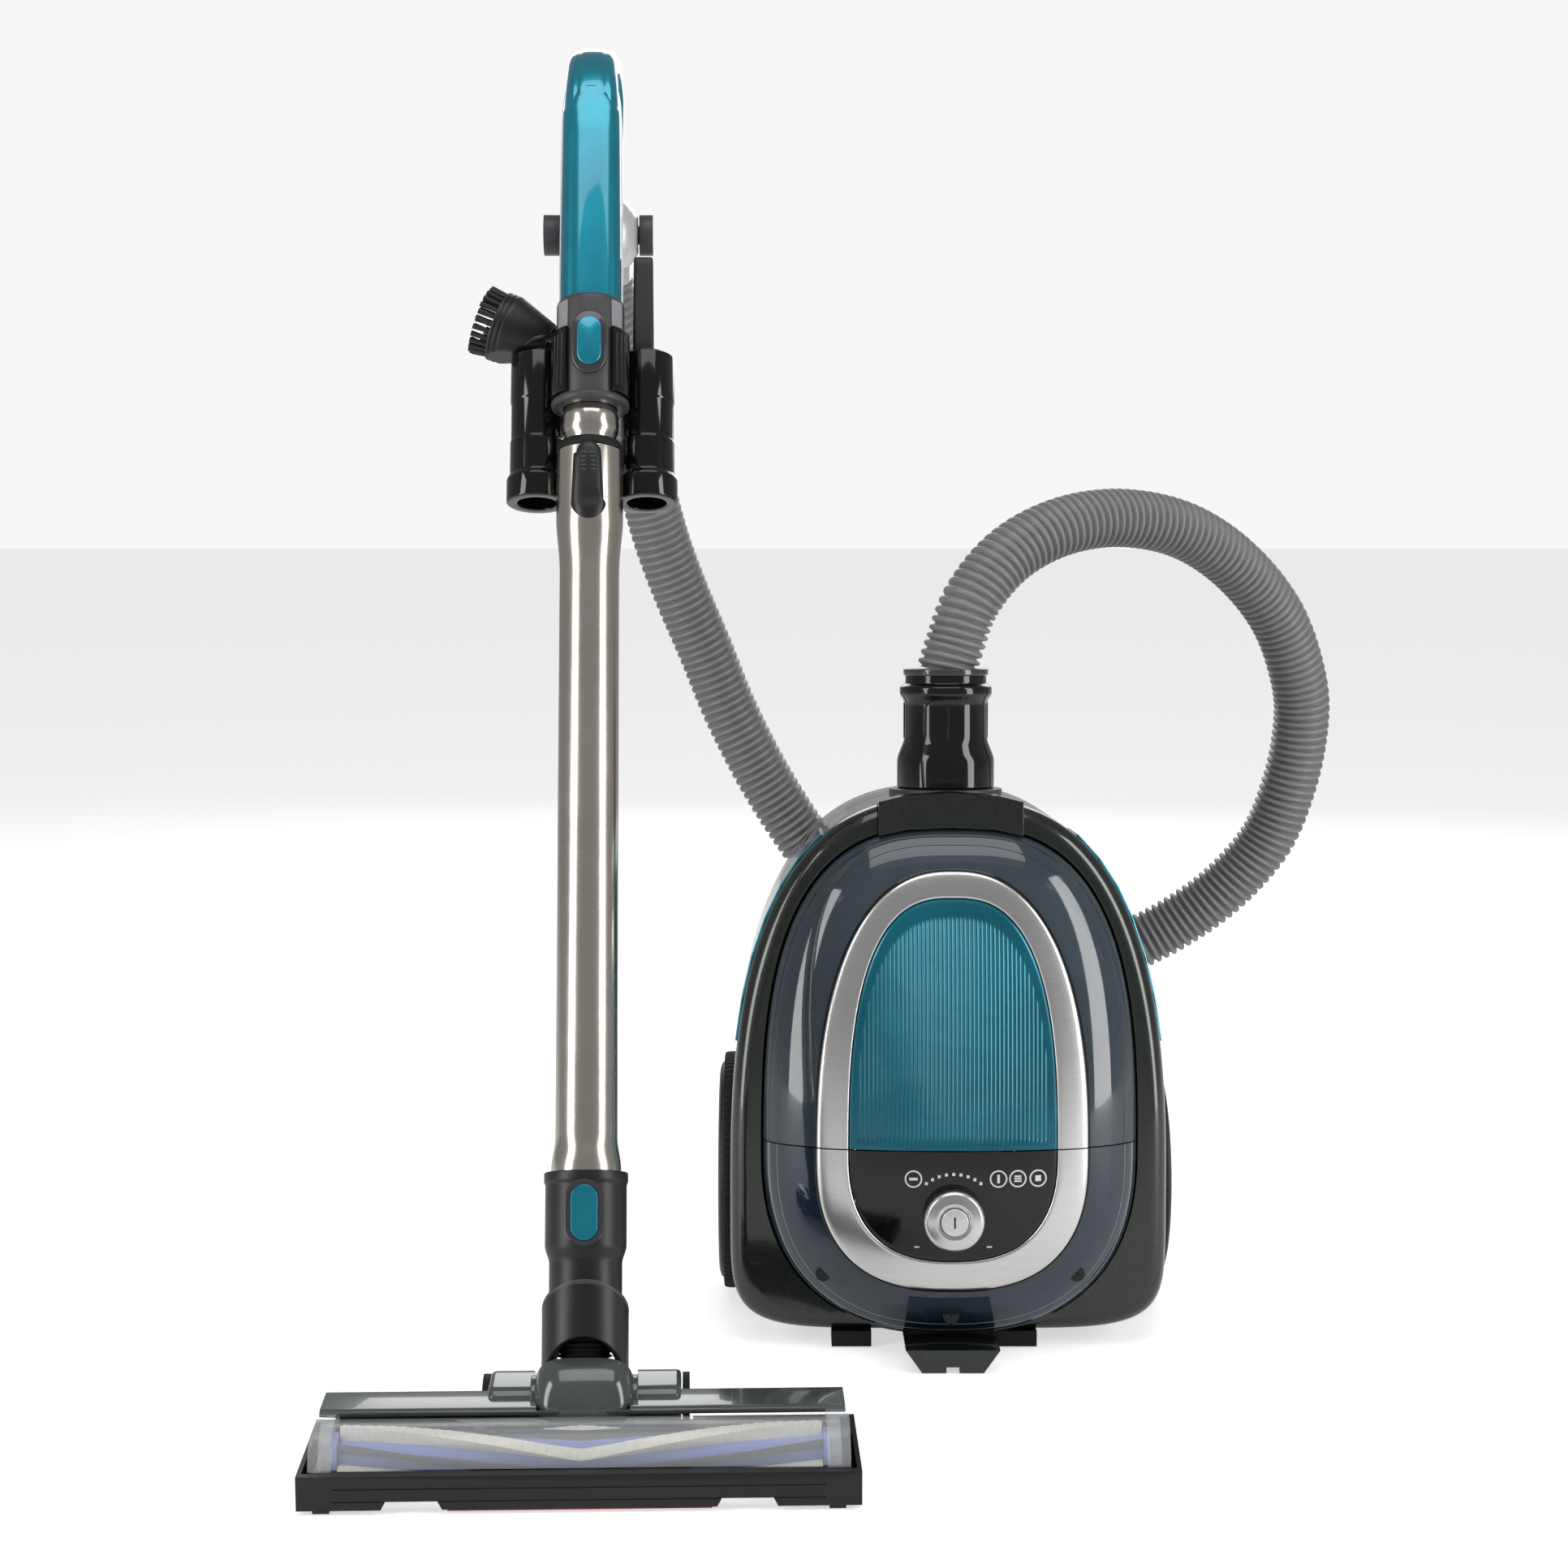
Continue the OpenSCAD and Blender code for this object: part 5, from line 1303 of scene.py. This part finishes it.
# ---------- wand ----------
class CLEANER_OT_tubes(BuildStep, bpy.types.Operator):
    """The telescoping steel tubes, the seal between them and the length slider"""
    bl_idname = "cleaner.tubes"
    bl_label = "Wand tubes"

    def build(self):
        """Turned tubes: a bulge on the inner one, and flared ends on the outer one."""
        rows = rounded([(14.7, 192.4), (15.8, 192.4), (15.8, 571), (17.3, 575), (17.3, 583), (15.8, 588),
                        (15.8, 634), (14.7, 634)], [0.3, 0.3, 2, 2, 2, 2, 0.3, 0.3], 5)
        Solid().ring(revolve(rows, "z", (0, 0), 128)).build("inner_skin", FINISHES["steel"], "canister", in_wand,
                                                            slot="tube_steel", replaces=("inner_tube",))
        rows = rounded([(16.3, 560.7), (20.2, 560.7), (20.2, 563.2), (18.6, 566.6), (16.3, 566.8)], 0.7, 4)
        Solid().ring(revolve(rows, "z", (0, 0), 96)).build("seal_skin", FINISHES["rubber"], "outer_wand", in_wand,
                                                           slot="rubber", replaces=("wand_seal",))
        rows = rounded([(16.5, 96), (20, 96), (20, 132), (17.8, 144), (17.8, 491), (20.1, 514), (20.1, 560.4),
                        (16.5, 560.4)], [0.3, 0.3, 4, 4, 8, 5, 0.5, 0.3], 7)
        Solid().ring(revolve(rows, "z", (0, 0), 144)).build("outer_skin", FINISHES["steel"], "outer_wand", in_wand,
                                                            slot="tube_steel", replaces=("outer_tube",))
        t = np.linspace(0, 2 * np.pi, 72, endpoint=False)
        wide = np.where(np.sin(t) > 0, 7.5, 10.6)
        edge_x = wide * np.cos(t)
        edge_s = np.where(np.sin(t) > 0, 554 + 7.3 * np.sin(t), 523.8 + 10.6 * np.sin(t))
        edge_x = np.where(np.abs(np.sin(t)) < 0.02, np.sign(np.cos(t)) * 9.2, edge_x)
        share_out = np.linspace(0.03, 1, 22)[:, None]
        x, s = edge_x * share_out, 538.5 + (edge_s - 538.5) * share_out
        lift = 2.5 - 1.9 * share_out ** 9 - 0.5 * np.exp(-((s - 525) / 4.5) ** 2)
        y = -np.sqrt(np.maximum((20.5 + lift) ** 2 - x ** 2, 1))
        top = np.stack([x, y, np.broadcast_to(s, x.shape)], -1)
        under = np.stack([x, -np.sqrt(20.5 ** 2 - x ** 2), np.broadcast_to(s, x.shape)], -1)[::-1]
        Solid().tube(np.concatenate([top, under])).build("slider_skin", FINISHES["black_satin"], "slider", in_wand,
                                                         slot="black_satin", replaces=("wand_slider",))
        bars = Solid()
        for k in range(5):
            bars.tube(block((-4.6, -22.95, 542 + 2.7 * k), (4.6, -22.2, 543.2 + 2.7 * k), 0.3))
        bars.build("slider_bars", FINISHES["grey_gloss"], "slider", in_wand, slot="black_satin")


class CLEANER_OT_connector(BuildStep, bpy.types.Operator):
    """The wand's lower connector with its release button, the elbow and the bellows"""
    bl_idname = "cleaner.connector"
    bl_label = "Connector"

    def build(self):
        """Turned connector; the elbow's ends follow an arch below and an oblique rim above."""
        rows = rounded([(20.15, 126.6), (24.0, 126.6), (24.0, 121.4), (23.2, 119.6), (23.2, 84), (20.7, 77),
                        (20.7, 41.2), (17.6, 41.2), (17.6, 96), (20.15, 98)],
                       [0.5, 0.8, 0.8, 0.6, 2, 2, 0.5, 0.5, 0.5, 0.5], 5)
        made = Solid().ring(revolve(rows, "z", (0, 0), 128))
        made.build("connector_skin", FINISHES["black_satin"], "outer_wand", in_wand, slot="black_satin",
                   replaces=("connector",))
        outer, hole = stadium(11.0, 19.0), stadium(7.9, 15.9)
        loops = [(outer, -18.0), (outer, -24.4), (outer * 0.96, -25.2), (hole, -25.2), (hole, -18.0)]
        rim = Solid().ring(np.stack([np.stack([p[:, 0], np.full(len(p), y), p[:, 1] + 102.4], -1)
                                     for p, y in loops]))
        rim.build("connector_frame", FINISHES["grey_gloss"], "outer_wand", in_wand, slot="black_gloss")
        button = Solid().tube(pad(stadium(7.6, 15.6), -25.3, -26.15, 0.4, (0, 102.4)))
        button.build("wand_button_cap", FINISHES["teal"], "wand_button", in_wand, slot="teal_gloss",
                     replaces=("connector_button",))
        t = np.radians(np.linspace(0, 360, 361)[:-1])
        x, y = 24.5 * np.cos(t), 24.5 * np.sin(t)
        arch = 11.5 + np.sqrt(np.maximum(22.5 ** 2 - x ** 2, 0))
        ear = -7.9 * np.sqrt(np.clip(1 - (y / 8.0) ** 2, 0, 1))
        low = np.where(np.abs(y) < 8.0, ear, arch)
        high = 50 + np.maximum(-y, 0) * np.tan(np.radians(33)) - 0.2
        u = np.array([0, 0.02, 0.1, 0.3, 0.5, 0.7, 0.9, 0.97, 1.0])[:, None]
        bell = np.array([-0.5, 0, 0, 0, 0, 0, 0, 0.0, -0.5])[:, None]
        z = low + (high - low) * u
        outer = np.stack([(24.5 + bell) * np.cos(t), (24.5 + bell) * np.sin(t), z], -1)
        inner = np.stack([21.0 * np.cos(t) * np.ones_like(z), 21.0 * np.sin(t) * np.ones_like(z), z], -1)[::-1]
        Solid().ring(np.concatenate([outer, inner])).build("elbow_skin", FINISHES["black_satin"], "neck", in_wand,
                                                           slot="black_satin", replaces=("elbow",))
        lip = Solid()
        rows = []
        for r, h in ((24.5, -2.6), (24.58, -2.4), (24.58, -0.4), (24.5, -0.2)):
            rows.append(np.stack([r * np.cos(t), r * np.sin(t), high + h], -1))
        for r, h in ((23.0, -0.2), (23.0, -2.6)):
            rows.append(np.stack([r * np.cos(t), r * np.sin(t), high + h], -1))
        lip.ring(np.stack(rows))
        lip.build("elbow_lip", FINISHES["grey"], "neck", in_wand, slot="black_satin")
        level = np.linspace(13.0, 39.8, 120)
        cone = np.interp(level, [13, 22, 29, 39.8], [8.6, 13.6, 16.2, 16.2])
        radius = cone + 1.1 * np.cos(2 * np.pi * (level - 27.2) / 3.1)
        rows = np.concatenate([np.stack([radius, level], -1), [(6.0, 39.8), (6.0, 13.0)]])
        Solid().ring(revolve(rows, "z", (0, 0), 96)).build("bellows_skin", FINISHES["rubber"], "neck", in_wand,
                                                           slot="rubber", replaces=("bellows",))


# ---------- floor nozzle ----------
class CLEANER_OT_nozzle(BuildStep, bpy.types.Operator):
    """The nozzle's top deck, dome and wheel pods, and the finishes of its base"""
    bl_idname = "cleaner.nozzle"
    bl_label = "Nozzle"

    def build(self):
        """The dome is a superellipse turned about the pivot's axis over its front part."""
        t = np.radians(np.linspace(2, 178, 61))
        outer = np.stack([28.0 * np.sin(t) ** 0.54, 28.0 * power(np.cos(t), 0.54)], -1)
        inner = np.stack([25.5 * np.sin(t) ** 0.54, 25.5 * power(np.cos(t), 0.54)], -1)[::-1]
        dome = Solid().add(*partial_turn(np.concatenate([outer, inner]), "x", PIVOT_AT, 104, 100, 60))
        dome.build("neck_dome", FINISHES["nozzle"], "nozzle", in_nozzle, slot="nozzle_green",
                   replaces=("nozzle_top",))
        deck = Solid()
        for side in (-1, 1):
            low, high = sorted((side * 25.8, side * 144.8))
            section = rounded([(-26, 35.7), (-26, 38.2), (-23, 39.4), (4, 39.4), (4, 35.7)], [0.5, 1, 2, 0.8, 0.5], 4)
            rows = [np.stack([np.full(len(section), x), section[:, 0], section[:, 1]], -1)
                    for x in (low, low + 0.6, high - 0.6, high)]
            deck.tube(np.stack(rows))
            shape = rounded([(-10, 12), (-10.4, 38), (-5, 43.8), (24, 44.2), (38, 37), (40.6, 24), (38, 12)],
                            [1, 3, 5, 6, 6, 4, 1], 6)
            a, b = side * 29.2, side * 53.8
            bend = np.linspace(0, np.pi / 2, 5)
            mid = shape.mean(0)
            rows = []
            xs = np.concatenate([[a], [b - side * 3.0 * (1 - np.sin(k)) for k in bend]])
            shrink = np.concatenate([[0.0], 3.0 * (1 - np.cos(bend))])
            for x, inset in zip(xs, shrink):
                p = mid + (shape - mid) * (1 - inset / 22.0)
                rows.append(np.stack([np.full(len(p), x), p[:, 0], p[:, 1]], -1))
            deck.tube(np.stack(rows))
            low, high = sorted((side * 25.3, side * 30.0))
            deck.tube(disc(14.0, low, high, "x", PIVOT_AT, 0.8, 64))
        deck.build("nozzle_deck", FINISHES["nozzle"], "nozzle", in_nozzle, slot="nozzle_green")
        edge = Solid().tube(block((-144.6, -27.4, 36.2), (144.6, -26.0, 38.6), 0.5))
        edge.build("deck_edge", FINISHES["grey_gloss"], "nozzle", in_nozzle, slot="silver")
        paint_nodes([("nozzle_base", "bumper"), ("nozzle_wheels", "rubber")], 0.5)
        paint_nodes([("felt_strip", "felt"), ("brush_motor", "motor"), ("motor_pulley", "grey"),
                     ("drive_belt", "rubber")])


class CLEANER_OT_window(BuildStep, bpy.types.Operator):
    """The clear window over the brush and its end caps"""
    bl_idname = "cleaner.window"
    bl_label = "Window"

    def build(self):
        """Parts of turned shells about the brush's axis."""
        rows = rounded([(20.7, -140.8), (20.7, 140.8), (22.4, 140.8), (22.4, -140.8)], 0.3, 3)
        pane = Solid().add(*partial_turn(rows, "x", WINDOW_AT, 39, 132, 60))
        pane.build("window_pane", FINISHES["window"], "nozzle", in_nozzle, slot="window_clear",
                   replaces=("nozzle_window",))
        caps = Solid()
        for side in (-1, 1):
            low, high = sorted((side * 133.2, side * 145.8))
            rows = rounded([(22.6, low), (25.4, low), (25.4, high), (22.6, high)], 0.8, 4)
            caps.add(*partial_turn(rows, "x", WINDOW_AT, 46, 126, 50))
        caps.build("window_caps", FINISHES["window"], "nozzle", in_nozzle, slot="window_clear")


class CLEANER_OT_brush(BuildStep, bpy.types.Operator):
    """The brush roll with its chevron bristles and end bearings"""
    bl_idname = "cleaner.brush"
    bl_label = "Brush roll"

    def build(self):
        """Each strip's angle advances with the distance from the middle, so that it makes a V."""
        rows = rounded([(2.6, -134), (10, -134), (10, 134), (2.6, 134)], [0.3, 0.8, 0.8, 0.3], 3)
        Solid().ring(revolve(rows, "x", BRUSH_AT, 64)).build(
            "brush_core_skin", FINISHES["brush_blue"], "brush_roll", in_nozzle, slot="brush_blue",
            replaces=("brush_core",))
        x = np.linspace(-131, 131, 263)
        lean = np.radians(9.0) * np.sqrt(x ** 2 + 9.0) / 14.0
        wobble = 1 + 0.012 * np.sin(x * 2.9) + 0.01 * np.sin(x * 5.3 + 1.0)
        profile = np.array([(9.6, -17), (12, -15.5), (15, -13), (17.0, -10), (17.2, -5), (16.9, 0), (17.2, 5),
                            (17.0, 10), (15, 13), (12, 15.5), (9.6, 17)])
        cream, dark = Solid(), Solid()
        for first, made in ((40, cream), (160, cream), (280, cream), (100, dark), (220, dark), (340, dark)):
            scale = 1.0 if made is cream else 0.55
            reach = profile[:, 0] if made is cream else np.minimum(profile[:, 0], 14.2)
            turn = np.radians(first + scale * profile[:, 1])[None] - lean[:, None]
            r = reach[None] * (wobble[:, None] if made is cream else 1.0)
            grid = np.stack([np.broadcast_to(x[:, None], turn.shape), -45 + r * np.cos(turn), 20 + r * np.sin(turn)],
                            -1)
            made.tube(grid)
        cream.build("brush_strips_skin", FINISHES["cream"], "brush_roll", in_nozzle, slot="bristle_cream",
                    replaces=("brush_strips",))
        dark.build("brush_felt_bands", FINISHES["bristle"], "brush_roll", in_nozzle, slot="bristle_black")
        ends = Solid()
        for side in (-1, 1):
            low, high = sorted((side * 131.6, side * 134.6))
            ends.tube(disc(13.5, low, high, "x", BRUSH_AT, 0.6, 48))
        ends.build("brush_ends", FINISHES["brush_blue"], "brush_roll", in_nozzle, slot="brush_blue")


# ---------- panel and registration ----------
STEPS = [CLEANER_OT_stage,
         CLEANER_OT_hose,
         CLEANER_OT_casing,
         CLEANER_OT_covers,
         CLEANER_OT_bezels,
         CLEANER_OT_panels,
         CLEANER_OT_knob,
         CLEANER_OT_wheels,
         CLEANER_OT_inlet,
         CLEANER_OT_fittings,
         CLEANER_OT_handle,
         CLEANER_OT_housing,
         CLEANER_OT_hub,
         CLEANER_OT_holder,
         CLEANER_OT_tools,
         CLEANER_OT_tubes,
         CLEANER_OT_connector,
         CLEANER_OT_nozzle,
         CLEANER_OT_window,
         CLEANER_OT_brush]


class CLEANER_PT_panel(bpy.types.Panel):
    """Sidebar panel with one button for each building step"""
    bl_idname = "CLEANER_PT_panel"
    bl_label = "Canister Cleaner"
    bl_space_type = "VIEW_3D"
    bl_region_type = "UI"
    bl_category = "Cleaner"

    def draw(self, context):
        """Sizes, colours and the steps in order."""
        layout = self.layout
        for settings in (context.scene.cleaner_sizes, context.scene.cleaner_colours):
            for name in settings.__annotations__:
                layout.prop(settings, name)
        for step in STEPS:
            layout.operator(step.bl_idname)


CLASSES = [CleanerSizes, CleanerColours, *STEPS, CLEANER_PT_panel]


def register():
    """Adds the classes and the scene's settings."""
    for cls in CLASSES:
        bpy.utils.register_class(cls)
    bpy.types.Scene.cleaner_sizes = bpy.props.PointerProperty(type=CleanerSizes)
    bpy.types.Scene.cleaner_colours = bpy.props.PointerProperty(type=CleanerColours)


def unregister():
    """Removes the settings and the classes."""
    del bpy.types.Scene.cleaner_colours
    del bpy.types.Scene.cleaner_sizes
    for cls in reversed(CLASSES):
        bpy.utils.unregister_class(cls)


def main():
    """Runs every step in order."""
    register()
    for step in STEPS:
        group_name, step_name = step.bl_idname.split(".")
        getattr(getattr(bpy.ops, group_name), step_name)()


if __name__ == "__main__":
    main()
